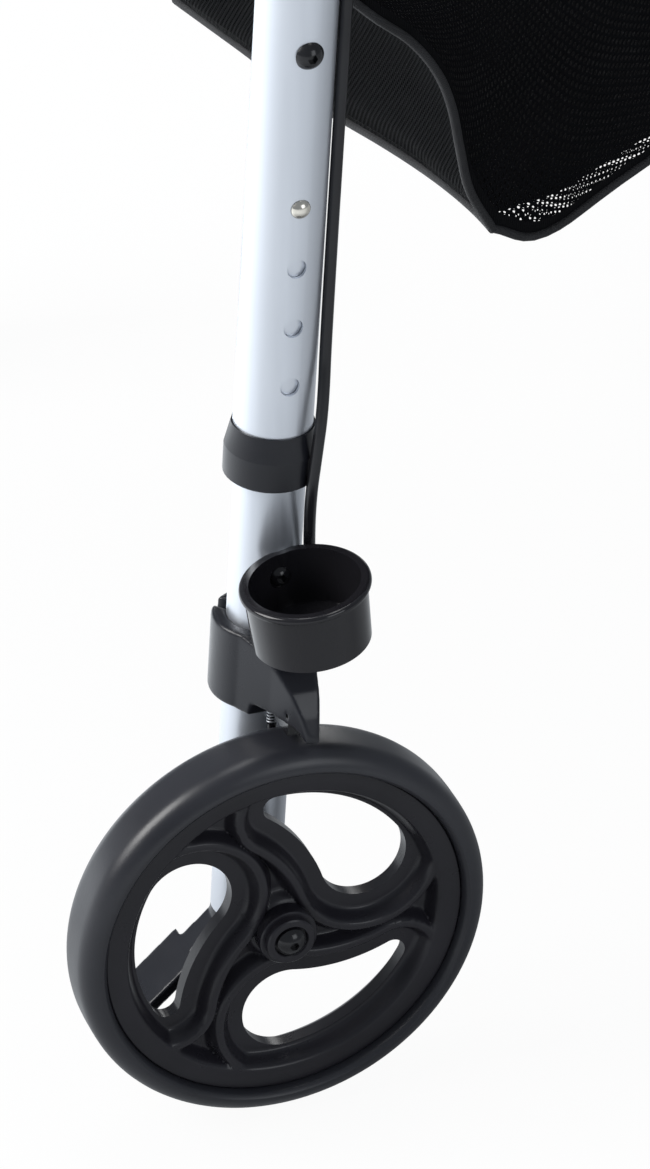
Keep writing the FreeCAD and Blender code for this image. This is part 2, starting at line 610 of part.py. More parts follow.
def make_cane_cup():
    """Round cup with a rolled rim, tilted back about its screw, with a saddle that hugs the leg."""
    bottom = CUP_TOP - CUP_DEPTH
    foot = Vector(CUP_FOOT_R, 0, 0)
    neck = Vector(CUP_R, 0, CUP_DEPTH - 2 * CUP_BEAD_R)
    bulge = Vector(CUP_R + CUP_BEAD_R, 0, CUP_DEPTH - CUP_BEAD_R)
    top = Vector(CUP_R, 0, CUP_DEPTH)
    sides = [Part.LineSegment(ORIGIN, foot), Part.LineSegment(foot, neck), Part.Arc(neck, bulge, top)]
    sides += [Part.LineSegment(top, UP * CUP_DEPTH), Part.LineSegment(UP * CUP_DEPTH, ORIGIN)]
    outer = Part.Face(Part.Wire([e.toShape() for e in sides])).revolve(ORIGIN, UP, 360)
    outer = moved(outer, CUP_FORWARD, -CUP_OUT, bottom)
    low = (CUP_FORWARD - SADDLE_HALF, -CUP_OUT + CUP_FOOT_R / 2, bottom + CUP_WALL / 2)
    high = (CUP_FORWARD + SADDLE_HALF, -LEG_R / 2, CUP_TOP - 2 * CUP_BEAD_R)
    saddle = block(low, high)
    floor = Vector(CUP_FORWARD, -CUP_OUT, bottom + CUP_WALL)
    cavity = Part.makeCone(CUP_FOOT_R - CUP_WALL, CUP_R - CUP_WALL, CUP_DEPTH, floor, UP)
    screw = Vector(0, 0, CUP_SCREW_HEIGHT)
    body = turned(joined(outer, saddle), CUP_TILT, INBOARD, screw)
    saddle_face = cylinder(LEG_R + SADDLE_WALL, 2 * CUP_TOP, (0, 0, 0))
    cavity = turned(cavity, CUP_TILT, INBOARD, screw).cut(saddle_face)
    leg = cylinder(LEG_R, 2 * CUP_TOP, (0, 0, 0))
    hole = cylinder(CUP_SCREW_R, CUP_OUT, (0, 0, CUP_SCREW_HEIGHT), -INBOARD)
    seat = (0, -CUP_SCREW_SEAT, CUP_SCREW_HEIGHT)
    pocket = cylinder(CUP_SCREW_HEAD_R + PLAY, CUP_OUT - CUP_SCREW_SEAT, seat, -INBOARD)
    return body.cut([cavity, leg, hole, pocket])


def make_cup_screw():
    base = (0, -CUP_SCREW_SEAT, CUP_SCREW_HEIGHT)
    return dome_screw(base, -INBOARD, CUP_SCREW_LENGTH, CUP_SCREW_HEAD_R, CUP_SCREW_R, CUP_SCREW_HEAD_H)


# Handle, grip and brake lever

KNOB_BOSS_R = 9.0
KNOB_BOSS_H = 6.0
KNOB_SCREW_R = 4.0
KNOB_R = 18.0
KNOB_H = 15.0
KNOB_LOBES = 6
KNOB_FLUTE_R = 6.0
KNOB_FLUTE_OUT = 20.5
LEVER_HOUSING_START = 46.0
LEVER_HOUSING_END = 68.0
LEVER_HOUSING_R = 19.0
LEVER_BLOCK_HALF = 9.0
LEVER_BLOCK_DROP = 37.0
LEVER_PIVOT_BACK = 57.0
LEVER_PIVOT_DROP = 28.0
LEVER_SLOT_HALF = 4.6
LEVER_HALF = 4.2
LEVER_EYE_R = 6.0
LEVER_PIN_R = 2.5
LEVER_PADDLE_HALF = 8.0
LEVER_PADDLE_START = 84.0
LEVER_SIDE = (
    (57.0, -22.0), (72.0, -33.0), (90.0, -39.5), (120.0, -42.5), (160.0, -42.5),
    (162.0, -47.0), (158.0, -51.0), (118.0, -51.0), (86.0, -48.0), (66.0, -41.0), (55.0, -34.0),
)
GRIP_GROOVES = 5
GRIP_GROOVE_DEPTH = 1.0
GRIP_GROOVE_WIDTH = 5.0


def make_handle_tube():
    end = GRIP_START + GRIP_LENGTH - PLAY
    points = [(0, 0, HANDLE_BOTTOM), (0, 0, HANDLE_HEIGHT), (-end, 0, HANDLE_HEIGHT)]
    return bent_tube(points, [HANDLE_BEND_R], LEG_R, LEG_BORE)


def make_grip():
    """Rubber sleeve with shallow grooves and a closed rear end."""
    back = INBOARD.cross(UP) * -1
    start = (-GRIP_START, 0, HANDLE_HEIGHT)
    body = cylinder(GRIP_R, GRIP_LENGTH + GRIP_CAP, start, back)
    body = body.makeFillet(GRIP_CAP / 2, [body.Edges[0], body.Edges[-1]])
    bore = cylinder(LEG_R, GRIP_LENGTH, start, back)
    cuts = [bore]
    pitch = GRIP_LENGTH / (GRIP_GROOVES + 1)
    for i in range(GRIP_GROOVES):
        x = -GRIP_START - pitch * (i + 1) + GRIP_GROOVE_WIDTH / 2
        inner = GRIP_R - GRIP_GROOVE_DEPTH
        cuts.append(ring(GRIP_R + OVERRUN, inner, GRIP_GROOVE_WIDTH, (x, 0, HANDLE_HEIGHT), back))
    return body.cut(cuts)


def make_lever_housing():
    length = LEVER_HOUSING_END - LEVER_HOUSING_START
    barrel = cylinder(LEVER_HOUSING_R, length, (-LEVER_HOUSING_END, 0, HANDLE_HEIGHT), FORWARD)
    low = (-LEVER_HOUSING_END, -LEVER_BLOCK_HALF, HANDLE_HEIGHT - LEVER_BLOCK_DROP)
    high = (-LEVER_HOUSING_START, LEVER_BLOCK_HALF, HANDLE_HEIGHT)
    body = barrel.fuse(block(low, high))
    tube = cylinder(LEG_R, 4 * length, (-LEVER_HOUSING_END - length, 0, HANDLE_HEIGHT), FORWARD)
    slot_low = (-2 * LEVER_HOUSING_END, -LEVER_SLOT_HALF, HANDLE_HEIGHT - 2 * LEVER_BLOCK_DROP)
    roof = HANDLE_HEIGHT - LEVER_PIVOT_DROP + LEVER_EYE_R + PLAY
    front = -LEVER_PIVOT_BACK + LEVER_EYE_R + PLAY
    slot = block(slot_low, (front, LEVER_SLOT_HALF, roof))
    pin = cylinder(LEVER_PIN_R + RUNNING, 4 * LEVER_BLOCK_HALF,
                   (-LEVER_PIVOT_BACK, -2 * LEVER_BLOCK_HALF, HANDLE_HEIGHT - LEVER_PIVOT_DROP), INBOARD)
    return body.cut([tube, slot, pin])


def make_brake_lever():
    """Lever under the grip, turning on its pin in the housing, with a wider finger paddle."""
    pivot_z = HANDLE_HEIGHT - LEVER_PIVOT_DROP
    outline = [(-back, HANDLE_HEIGHT + drop) for back, drop in LEVER_SIDE]
    root = cylinder(LEVER_EYE_R, 2 * LEVER_HALF, (-LEVER_PIVOT_BACK, -LEVER_HALF, pivot_z), INBOARD)
    bar = plate_xz(outline, -LEVER_HALF, 2 * LEVER_HALF)
    wide = plate_xz(outline, -LEVER_PADDLE_HALF, 2 * LEVER_PADDLE_HALF)
    zone = block((-2 * LEVER_SIDE[4][0], -2 * LEVER_PADDLE_HALF, 0),
                 (-LEVER_PADDLE_START, 2 * LEVER_PADDLE_HALF, 2 * HANDLE_HEIGHT))
    pin_half = LEVER_BLOCK_HALF - PLAY
    pin = cylinder(LEVER_PIN_R, 2 * pin_half, (-LEVER_PIVOT_BACK, -pin_half, pivot_z), INBOARD)
    return joined(root, bar, wide.common(zone), pin)


def make_knob():
    """Lobed knob on a short screw that presses on the handle tube."""
    seat = COLUMN_R + KNOB_BOSS_H + PLAY
    head = cylinder(KNOB_R, KNOB_H, (0, -seat, 0), -INBOARD)
    flutes = []
    for i in range(KNOB_LOBES):
        place = polar(KNOB_FLUTE_OUT, i * 360 / KNOB_LOBES)
        start = (place.x, -seat + OVERRUN, place.z)
        flutes.append(cylinder(KNOB_FLUTE_R, KNOB_H + 2 * OVERRUN, start, -INBOARD))
    tip = LEG_R + SLIDING
    screw = cylinder(KNOB_SCREW_R, seat - tip + OVERRUN, (0, -tip, 0), -INBOARD)
    return moved(joined(head.cut(flutes), screw), 0, 0, KNOB_HEIGHT)


# Front leg and caster

CASTER_GAP = 18.5
FORK_WALL = 4.0
FORK_EYE_R = 12.0
FORK_FRONT_SHARE = 0.45
STEM_NUT_R = 8.0
STEM_NUT_H = 6.0
LUG_THICK = 6.0
LUG_HALF = 13.0
LUG_REACH = 12.5


def slope_end():
    """Where the front tube's axis meets the column's axis."""
    return leg_point(JOINT_HEIGHT)


def front_path():
    join_x, join_z = slope_end()
    y = -TUBE_Y
    return [(STEM_X, y, FRONT_TUBE_BOTTOM), (STEM_X, y, FRONT_APEX_Z), (join_x, y, join_z)]


def make_front_tube():
    """Tube from the caster up and back to the column, with the lug of the cross brace."""
    path = rounded_path(front_path(), [FRONT_BEND_R])
    outer = pipe(path, COLUMN_R)
    y = -TUBE_Y
    lug_front = STEM_X - COLUMN_R + LUG_THICK / 2
    low = (lug_front - LUG_THICK, y + LUG_THICK, PIVOT_Z - LUG_HALF)
    high = (lug_front, -PIVOT_Y + LUG_REACH, PIVOT_Z + LUG_HALF)
    body = outer.fuse(block(low, high)).cut(pipe(path, COLUMN_BORE))
    column = on_leg(cylinder(COLUMN_R, 2 * COLUMN_TOP, (0, 0, 0)))
    holes = [moved(h, STEM_X, y, 0) for h in adjusting_holes(FRONT_BUTTON_Z)]
    holes.append(cylinder(SCREW_SHANK_R, 4 * COLUMN_R, (STEM_X, y - 2 * COLUMN_R, BAG_SCREW_Z), INBOARD))
    pin = cylinder(PIVOT_R, 2 * TRAIL, (STEM_X - 2 * TRAIL, -PIVOT_Y, PIVOT_Z), FORWARD)
    return body.cut([column, pin] + holes)


def make_front_leg():
    """Inner tube of the front leg with the caster's bearing housing in its lower end."""
    x, y = STEM_X, -TUBE_Y
    length = FRONT_LEG_TOP - FRONT_LEG_BOTTOM
    body = cylinder(LEG_R, length, (x, y, FRONT_LEG_BOTTOM))
    bore = cylinder(LEG_BORE, length, (x, y, FRONT_LEG_BOTTOM + STEM_HOUSING))
    stem = cylinder(STEM_R + RUNNING, length, (x, y, FRONT_LEG_BOTTOM - OVERRUN))
    button = cylinder(HOLE_R, LEG_R + OVERRUN, (x, y, FRONT_BUTTON_Z), -INBOARD)
    return body.cut([bore, stem, button])


def make_caster_fork():
    """Crown with two slanted plates, and the stem with its nut above the bearing housing."""
    y = -TUBE_Y
    half = CASTER_GAP + FORK_WALL
    crown = cylinder(half, CROWN_HEIGHT, (STEM_X, y, FORK_CROWN_Z))
    depth = half * FORK_FRONT_SHARE
    outline = [
        (STEM_X + depth, FORK_CROWN_Z + CROWN_HEIGHT / 2), (STEM_X - depth, FORK_CROWN_Z + CROWN_HEIGHT / 2),
        (FRONT_X - FORK_EYE_R, WHEEL_R), (FRONT_X + FORK_EYE_R, WHEEL_R),
        (STEM_X + depth, FORK_CROWN_Z - CROWN_HEIGHT / 2),
    ]
    parts = []
    for start in (y - half, y + CASTER_GAP):
        parts.append(plate_xz(outline, start, FORK_WALL))
        parts.append(cylinder(FORK_EYE_R, FORK_WALL, (FRONT_X, start, WHEEL_R), INBOARD))
    housing_top = FRONT_LEG_BOTTOM + STEM_HOUSING + PLAY
    parts.append(cylinder(STEM_R, housing_top - FORK_CROWN_Z, (STEM_X, y, FORK_CROWN_Z)))
    parts.append(cylinder(STEM_NUT_R, STEM_NUT_H, (STEM_X, y, housing_top)))
    bolt = cylinder(AXLE_R, 4 * half, (FRONT_X, y - 2 * half, WHEEL_R), INBOARD)
    return joined(crown, *parts).cut(bolt)


def make_front_axle():
    half = CASTER_GAP + FORK_WALL
    y = -TUBE_Y
    bolt = dome_screw((0, -half, 0), -INBOARD, 2 * half + AXLE_NUT_H, AXLE_HEAD_R, AXLE_R, AXLE_HEAD_H)
    nut = hexagon(AXLE_NUT_R, AXLE_NUT_H, (0, half, 0), INBOARD)
    spacers = []
    for side in (1, -1):
        gap = CASTER_GAP - CAP_HALF - PLAY
        start = side * (CAP_HALF + PLAY)
        spacers.append(cylinder(WASHER_R, gap, (0, start, 0), INBOARD * side))
    return moved(joined(bolt, nut, *spacers), FRONT_X, y, WHEEL_R)


# Cradles under the seat rails, and the screws of the frame

CRADLE_HALF = 11.0
CRADLE_FLOOR = 20.0
CRADLE_RISE = 4.0
CRADLE_LIP = 3.2
FRONT_CRADLE_X = 90.0
TAB_THICK = 3.4
CRADLE_SCREW_DROP = 3.0


def cradle(centre_x, tab_top):
    """Open saddle for a seat rail, with a tab that bears on the frame tube outboard of it."""
    y = -PIVOT_Y
    slot_r = RAIL_R + PLAY
    inboard = y + slot_r + CRADLE_LIP
    base = block((centre_x - CRADLE_HALF, -TUBE_Y, RAIL_Z - CRADLE_FLOOR),
                 (centre_x + CRADLE_HALF, inboard, RAIL_Z + CRADLE_RISE))
    tab = block((centre_x - CRADLE_HALF, -TUBE_Y, RAIL_Z - CRADLE_FLOOR),
                (centre_x + CRADLE_HALF, y - slot_r, tab_top))
    start = (centre_x - 2 * CRADLE_HALF, y, RAIL_Z)
    trough = cylinder(slot_r, 4 * CRADLE_HALF, start, FORWARD)
    way_top = (centre_x + 2 * CRADLE_HALF, y + slot_r, RAIL_Z + 4 * RAIL_R)
    way = block((start[0], y - slot_r, RAIL_Z), way_top)
    return base.fuse(tab).cut([trough, way])


def front_tube_z(x):
    """Height of the sloping front tube's axis at a place along the frame."""
    join_x, join_z = slope_end()
    return FRONT_APEX_Z + (STEM_X - x) * (join_z - FRONT_APEX_Z) / (STEM_X - join_x)


def make_cradles():
    rear_height = (RAIL_Z - WHEEL_R) / LEAN_COS
    rear_x = leg_point(rear_height)[0]
    front_x = STEM_X - FRONT_CRADLE_X
    join_x, join_z = slope_end()
    run = Vector(join_x - STEM_X, 0, join_z - FRONT_APEX_Z)
    slope_tube = cylinder(COLUMN_R, run.Length, (STEM_X, -TUBE_Y, FRONT_APEX_Z), run.normalize())
    column = on_leg(cylinder(COLUMN_R, COLUMN_TOP, (0, 0, 0)))
    rear = cradle(rear_x, RAIL_Z + CRADLE_RISE).cut(column)
    front = cradle(front_x, front_tube_z(front_x)).cut(slope_tube)
    reach = 2 * CRADLE_HALF
    outer_y = COLUMN_R / 2 - TUBE_Y
    kept = []
    for shape, x in ((rear, rear_x), (front, front_x)):
        kept.append(shape.common(block((x - reach, outer_y, 0), (x + reach, 0, 2 * RAIL_Z))))
    return Part.makeCompound(kept)


HOOK_END = 5.8
PIVOT_HEAD_R = 8.0
PIVOT_HEAD_H = 4.0
PIVOT_COLLAR_R = 8.0


def make_frame_screws(side):
    """Dome screws that carry the bag, and the pivot bolt of the brace, on one side frame."""
    bag_y = -PIVOT_Y + LUG_REACH - HOOK_END
    length = TUBE_Y - COLUMN_R + bag_y
    rear = dome_screw((0, -COLUMN_R, DOME_SCREW_HEIGHT), -INBOARD, 2 * COLUMN_R + BAG_INSET)
    rear_nut = hexagon(NUT_R, NUT_H, (0, COLUMN_R, DOME_SCREW_HEIGHT), INBOARD)
    front = dome_screw((STEM_X, -TUBE_Y - COLUMN_R, BAG_SCREW_Z), -INBOARD, 2 * COLUMN_R + STRAP_INSET)
    front_nut = hexagon(NUT_R, NUT_H, (STEM_X, -TUBE_Y + COLUMN_R, BAG_SCREW_Z), INBOARD)
    lug_front = STEM_X - COLUMN_R + LUG_THICK / 2
    lug_back = lug_front - LUG_THICK
    arm_low, arm_high = arm_span("rear" if side == "right" else "front")
    tail = arm_low - PLAY - PIVOT_HEAD_H
    pin = cylinder(PIVOT_R, lug_front - tail, (tail, -PIVOT_Y, PIVOT_Z), FORWARD)
    head = hexagon(PIVOT_HEAD_R, PIVOT_HEAD_H, (lug_front, -PIVOT_Y, PIVOT_Z), FORWARD)
    end = cylinder(PIVOT_HEAD_R, PIVOT_HEAD_H, (tail, -PIVOT_Y, PIVOT_Z), FORWARD)
    collar_start = arm_high + PLAY
    collar = cylinder(PIVOT_COLLAR_R, lug_back - collar_start, (collar_start, -PIVOT_Y, PIVOT_Z), FORWARD)
    rear_screw = on_leg(joined(rear, rear_nut))
    front_screw = joined(front, front_nut)
    return Part.makeCompound([rear_screw, front_screw, joined(pin, head, end, collar)])


# Cross brace

def arm_span(place):
    """Low and high X of the rear or the front arm of the brace."""
    if place == "rear":
        return BRACE_X - ARM_THICK - ARM_GAP / 2, BRACE_X - ARM_GAP / 2
    return BRACE_X + ARM_GAP / 2, BRACE_X + ARM_THICK + ARM_GAP / 2


def make_arm(place, side):
    """Flat arm from the lower pivot on one side up to the sleeve round the other side's rail."""
    low_x, high_x = arm_span(place)
    foot = Vector(0, side * PIVOT_Y, PIVOT_Z)
    top = Vector(0, -side * PIVOT_Y, RAIL_Z)
    along = (top - foot).normalize()
    across = Vector(0, -along.z, along.y) * (ARM_HEIGHT / 2)
    corners = [foot + across, foot - across, top - across, top + across]
    bar = prism([(low_x, p.y, p.z) for p in corners], FORWARD * ARM_THICK)
    foot_eye = cylinder(EYE_R, ARM_THICK, (low_x, foot.y, foot.z), FORWARD)
    sleeve = cylinder(EYE_R, ARM_THICK, (low_x, top.y, top.z), FORWARD)
    middle = (foot + top) / 2
    cuts = []
    for point, radius in ((foot, PIVOT_R), (middle, PIVOT_R), (top, RAIL_R)):
        start = (low_x - OVERRUN, point.y, point.z)
        cuts.append(cylinder(radius + RUNNING, ARM_THICK + 2 * OVERRUN, start, FORWARD))
    arm = joined(bar, foot_eye, sleeve).cut(cuts)
    if place == "front":
        return arm
    start = low_x - PIVOT_HEAD_H - PLAY
    end = arm_span("front")[1] + PLAY
    shaft = cylinder(PIVOT_R, end - start, (start, middle.y, middle.z), FORWARD)
    head = cylinder(PIVOT_HEAD_R, PIVOT_HEAD_H, (start, middle.y, middle.z), FORWARD)
    nut = hexagon(PIVOT_HEAD_R, PIVOT_HEAD_H, (end, middle.y, middle.z), FORWARD)
    return Part.makeCompound([arm, joined(shaft, head, nut)])


RAIL_REAR_OVERHANG = 16.0
RAIL_FRONT_OVERHANG = 5.0
STOP_RING_R = 13.5
STOP_RING_W = 3.0
RAIL_CAP_H = 3.0


def make_rail(side):
    """Seat rail with an end cap at each end and a stop ring each side of its arm's sleeve."""
    rear_height = (RAIL_Z - WHEEL_R) / LEAN_COS
    start = leg_point(rear_height)[0] - RAIL_REAR_OVERHANG
    low_x, high_x = arm_span("front" if side < 0 else "rear")
    end = arm_span("front")[1] + PLAY + STOP_RING_W + RAIL_FRONT_OVERHANG
    y = side * PIVOT_Y
    tube = ring(RAIL_R, RAIL_R - RAIL_WALL, end - start, (start, y, RAIL_Z), FORWARD)
    parts = []
    for x in (low_x - PLAY - STOP_RING_W, high_x + PLAY):
        parts.append(ring(STOP_RING_R, RAIL_R, STOP_RING_W, (x, y, RAIL_Z), FORWARD))
    for x in (start - RAIL_CAP_H, end):
        parts.append(cylinder(RAIL_R, RAIL_CAP_H, (x, y, RAIL_Z), FORWARD))
    return joined(tube, *parts)


# Seat and bag

SEAT_FRONT_GAP = 60.0
SEAT_BACK_GAP = 50.0
SEAT_THICK = 22.0
SEAT_CROWN = 6.0
SEAT_PAST_RAIL = 8.5
SEAT_HALF_WIDTH = PIVOT_Y + SEAT_PAST_RAIL
SEAT_EDGE = 8.0
BAG_FROM_WHEEL = 72.0
BAG_HALF_WIDTH = TRACK / 2 - BAG_FROM_WHEEL
BAG_WALL = 2.0
BAG_INSET = 20.6
STRAP_INSET = 16.6
STRAP_THICK = 3.0
STRAP_WIDTH = 16.0


def make_seat():
    """Padded seat on the two rails, with a low crown and rounded sides."""
    back = leg_point((RAIL_Z - WHEEL_R) / LEAN_COS)[0] + SEAT_BACK_GAP
    front = BRACE_X - SEAT_FRONT_GAP
    base = RAIL_Z + RAIL_R + PLAY
    top = base + SEAT_THICK - SEAT_CROWN
    sections = []
    for x, drop, inset in ((back, SEAT_CROWN, SEAT_EDGE), (back + SEAT_EDGE, 0, 0),
                           (front - SEAT_EDGE, 0, 0), (front, SEAT_CROWN, SEAT_EDGE)):
        half = SEAT_HALF_WIDTH - inset
        upper = top - drop
        crown = Vector(x, 0, upper + SEAT_CROWN)
        left, right = Vector(x, half, upper), Vector(x, -half, upper)
        low_left = Vector(x, half - SEAT_EDGE, base)
        low_right = Vector(x, -half + SEAT_EDGE, base)
        edges = [
            Part.Arc(right, crown, left).toShape(),
            Part.LineSegment(left, low_left).toShape(),
            Part.LineSegment(low_left, low_right).toShape(),
            Part.LineSegment(low_right, right).toShape(),
        ]
        sections.append(Part.Wire(edges))
    return Part.makeLoft(sections, True, True)


# Outline of the bag seen from the side, behind the rear axle's X and above the axle's Z
BAG_AT_SIDE = ((24.0, 400.0), (44.0, 386.0), (84.0, 349.0), (105.0, 301.0), (122.0, 256.0),
               (143.0, 251.5), (188.0, 276.0), (330.0, 350.0), (415.0, 400.0))
BAG_AT_MIDDLE = ((6.0, 392.0), (22.0, 370.0), (50.0, 328.0), (62.0, 285.0), (80.0, 255.0),
                 (104.0, 232.0), (180.0, 240.0), (330.0, 305.0), (420.0, 392.0))
BAG_SAG_SHARES = (0.0, 0.29, 0.56, 0.81, 1.0, 0.81, 0.56, 0.29, 0.0)


def bag_section(y, share):
    points = []
    for (x0, z0), (x1, z1) in zip(BAG_AT_SIDE, BAG_AT_MIDDLE):
        x = REAR_X + x0 + (x1 - x0) * share
        points.append(Vector(x, y, WHEEL_R + z0 + (z1 - z0) * share))
    return points


def inset(points, wall):
    """The outline moved inwards by a wall, but for its top edge, which moves up past the mouth."""
    count = len(points)
    lines = []
    for i, start in enumerate(points):
        step = (points[(i + 1) % count] - start).normalize()
        inward = UP * OVERRUN if i == count - 1 else Vector(-step.z, 0, step.x) * wall
        lines.append((start + inward, step))
    corners = []
    for (p, u), (q, v) in zip(lines[-1:] + lines[:-1], lines):
        across = u.x * v.z - u.z * v.x
        corners.append(p + u * (((q.x - p.x) * v.z - (q.z - p.z) * v.x) / across))
    return corners


def closed(points):
    return Part.makePolygon(points + points[:1])


def make_bag():
    """Mesh pouch that sags between the side frames, with its tabs and front straps."""
    count = len(BAG_SAG_SHARES) - 1
    outer = []
    inner = []
    for i, share in enumerate(BAG_SAG_SHARES):
        across = 2 * i / count - 1
        outer.append(closed(bag_section(BAG_HALF_WIDTH * across, share)))
        inner.append(closed(inset(bag_section((BAG_HALF_WIDTH - BAG_WALL) * across, share), BAG_WALL)))
    pouch = Part.makeLoft(outer, True, True).cut(Part.makeLoft(inner, True, True))
    screw_x, screw_z = leg_point(DOME_SCREW_HEIGHT)
    tab_y = TUBE_Y - COLUMN_R - BAG_INSET
    corner_x = REAR_X + BAG_AT_SIDE[0][0]
    corner_z = WHEEL_R + BAG_AT_SIDE[0][1]
    front_x = REAR_X + BAG_AT_SIDE[-1][0]
    parts = []
    for side in (1, -1):
        tab = [(screw_x - STRAP_WIDTH / 2, screw_z - STRAP_WIDTH / 2),
               (corner_x + STRAP_WIDTH, corner_z - 2 * STRAP_WIDTH),
               (corner_x + STRAP_WIDTH, corner_z), (corner_x, corner_z),
               (screw_x - STRAP_WIDTH / 2, screw_z + STRAP_WIDTH / 2)]
        start = side * tab_y - (STRAP_THICK if side > 0 else 0)
        parts.append(plate_xz(tab, start, STRAP_THICK))
        strap_y = TUBE_Y - COLUMN_R - STRAP_INSET
        strap = [(front_x - STRAP_WIDTH, corner_z), (front_x - STRAP_WIDTH, corner_z - STRAP_WIDTH),
                 (STEM_X + STRAP_WIDTH / 2, BAG_SCREW_Z - STRAP_WIDTH / 2),
                 (STEM_X + STRAP_WIDTH / 2, BAG_SCREW_Z + STRAP_WIDTH / 2)]
        parts.append(plate_xz(strap, side * strap_y - (STRAP_THICK if side > 0 else 0), STRAP_THICK))
        link_low = min(side * (BAG_HALF_WIDTH - OVERRUN), side * strap_y)
        link_high = max(side * (BAG_HALF_WIDTH - OVERRUN), side * strap_y)
        link_start = (front_x - STRAP_WIDTH, link_low, corner_z - STRAP_WIDTH)
        parts.append(block(link_start, (front_x, link_high, corner_z)))
    return joined(pouch, *parts)


# Brake cable, in the leg frame: from the lever's housing down to the stop on the brake housing
CABLE_ROUTE = (
    (-46.0, -6.0, 751.0), (-36.0, -6.0, 751.0), (-14.0, -19.5, 748.0), (9.0, -21.6, 732.0),
    (16.6, -20.0, 704.0), (16.6, -19.0, 674.0), (16.6, -19.0, 630.0), (17.3, -10.0, 582.0), (17.4, -6.6, 532.0),
    (17.3, -6.7, 258.0), (14.6, -15.2, 226.0), (11.7, -18.5, 207.0), (10.0, -19.0, 188.0),
    (14.2, -10.3, 161.0), (16.6, -8.6, 143.0), (16.6, -8.6, 126.0),
)
ARC_SHARE = 0.45


def make_cable():
    """Outer cable as straight runs joined by arcs, with its shape printed for checking."""
    points = [Vector(*p) for p in CABLE_ROUTE]
    radii = []
    for here, corner, there in zip(points, points[1:], points[2:]):
        run = min((here - corner).Length, (there - corner).Length)
        turn = math.pi - (here - corner).getAngle(there - corner)
        radii.append(ARC_SHARE * run / math.tan(turn / 2))
    path = rounded_path(CABLE_ROUTE, radii)
    solid = pipe(path, CABLE_R)
    print("cable length", round(path.Length, 1), "least radius", round(min(radii), 1))
    plain = math.pi * CABLE_R ** 2 * path.Length
    print("cable volume over section times length", round(solid.Volume / plain, 4))
    return solid


# All pieces of the right side, by name

def right_side():
    y = -TUBE_Y
    front = {"x": STEM_X, "y": y, "z": 0}
    wheel_y = -TRACK / 2
    return {
        "column_tube": on_leg(make_column()),
        "front_frame_tube": make_front_tube(),
        "rail_cradles": make_cradles(),
        "leg_collars": Part.makeCompound([
            on_leg(make_collar(COLUMN_BOTTOM - COLLAR_LIP)),
            moved(make_collar(FRONT_TUBE_BOTTOM - COLLAR_LIP), **front),
        ]),
        "rear_leg_tube": on_leg(make_rear_leg()),
        "rear_snap_clip": on_leg(make_snap_clip(BUTTON_HEIGHT)),
        "rear_axle_bolt": on_leg(make_rear_axle()),
        "brake_housing": on_leg(make_brake_housing()),
        "brake_shoe": on_leg(make_brake_shoe()),
        "brake_spring": on_leg(make_brake_spring()),
        "kerb_pedal": on_leg(make_kerb_pedal()),
        "brake_cable": on_leg(make_cable()),
        "handle_tube": on_leg(make_handle_tube()),
        "hand_grip": on_leg(make_grip()),
        "lever_housing": on_leg(make_lever_housing()),
        "brake_lever": on_leg(make_brake_lever()),
        "height_knob": on_leg(make_knob()),
        "front_leg_tube": make_front_leg(),
        "front_snap_clip": moved(make_snap_clip(FRONT_BUTTON_Z), **front),
        "caster_fork": make_caster_fork(),
        "front_axle_bolt": make_front_axle(),
        "rear_rim": moved(make_rim(), REAR_X, wheel_y, WHEEL_R),
        "rear_tyre": moved(make_tyre(), REAR_X, wheel_y, WHEEL_R),
        "front_rim": moved(make_rim(), FRONT_X, y, WHEEL_R),
        "front_tyre": moved(make_tyre(), FRONT_X, y, WHEEL_R),
    }


def build():
    nodes = {}
    for name, shape in right_side().items():
        nodes[name + "_right"] = shape
        if name.endswith("rim"):
            nodes[name + "_left"] = turned(shape, 180, UP, Vector(shape.BoundBox.Center.x, 0, 0))
        else:
            nodes[name + "_left"] = shape.mirror(ORIGIN, INBOARD)
    nodes["frame_screws_right"] = make_frame_screws("right")
    nodes["frame_screws_left"] = make_frame_screws("left").mirror(ORIGIN, INBOARD)
    nodes["cane_cup"] = on_leg(make_cane_cup())
    nodes["cane_cup_screw"] = on_leg(make_cup_screw())
    nodes["brace_arm_rear"] = make_arm("rear", -1)
    nodes["brace_arm_front"] = make_arm("front", 1)
    nodes["seat_rail_right"] = make_rail(-1)
    nodes["seat_rail_left"] = make_rail(1)
    nodes["seat"] = make_seat()
    nodes["bag"] = make_bag()
    return nodes


os.makedirs("parts", exist_ok=True)
for node, shape in build().items():
    if not shape.isValid():
        print("not valid:", node)
    shape.exportStep("parts/" + node + ".step")
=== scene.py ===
"""Looks of the rollator: materials, cloth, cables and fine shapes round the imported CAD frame.

Units are metres, in the part's own frame: +X forward, +Y to the user's left, +Z up.
The "leg frame" runs up a rear leg: x forward, y inboard, s along the tube from axle height.
"""
import json
import math

import bmesh
import bpy
import numpy as np
from mathutils import Matrix, Vector


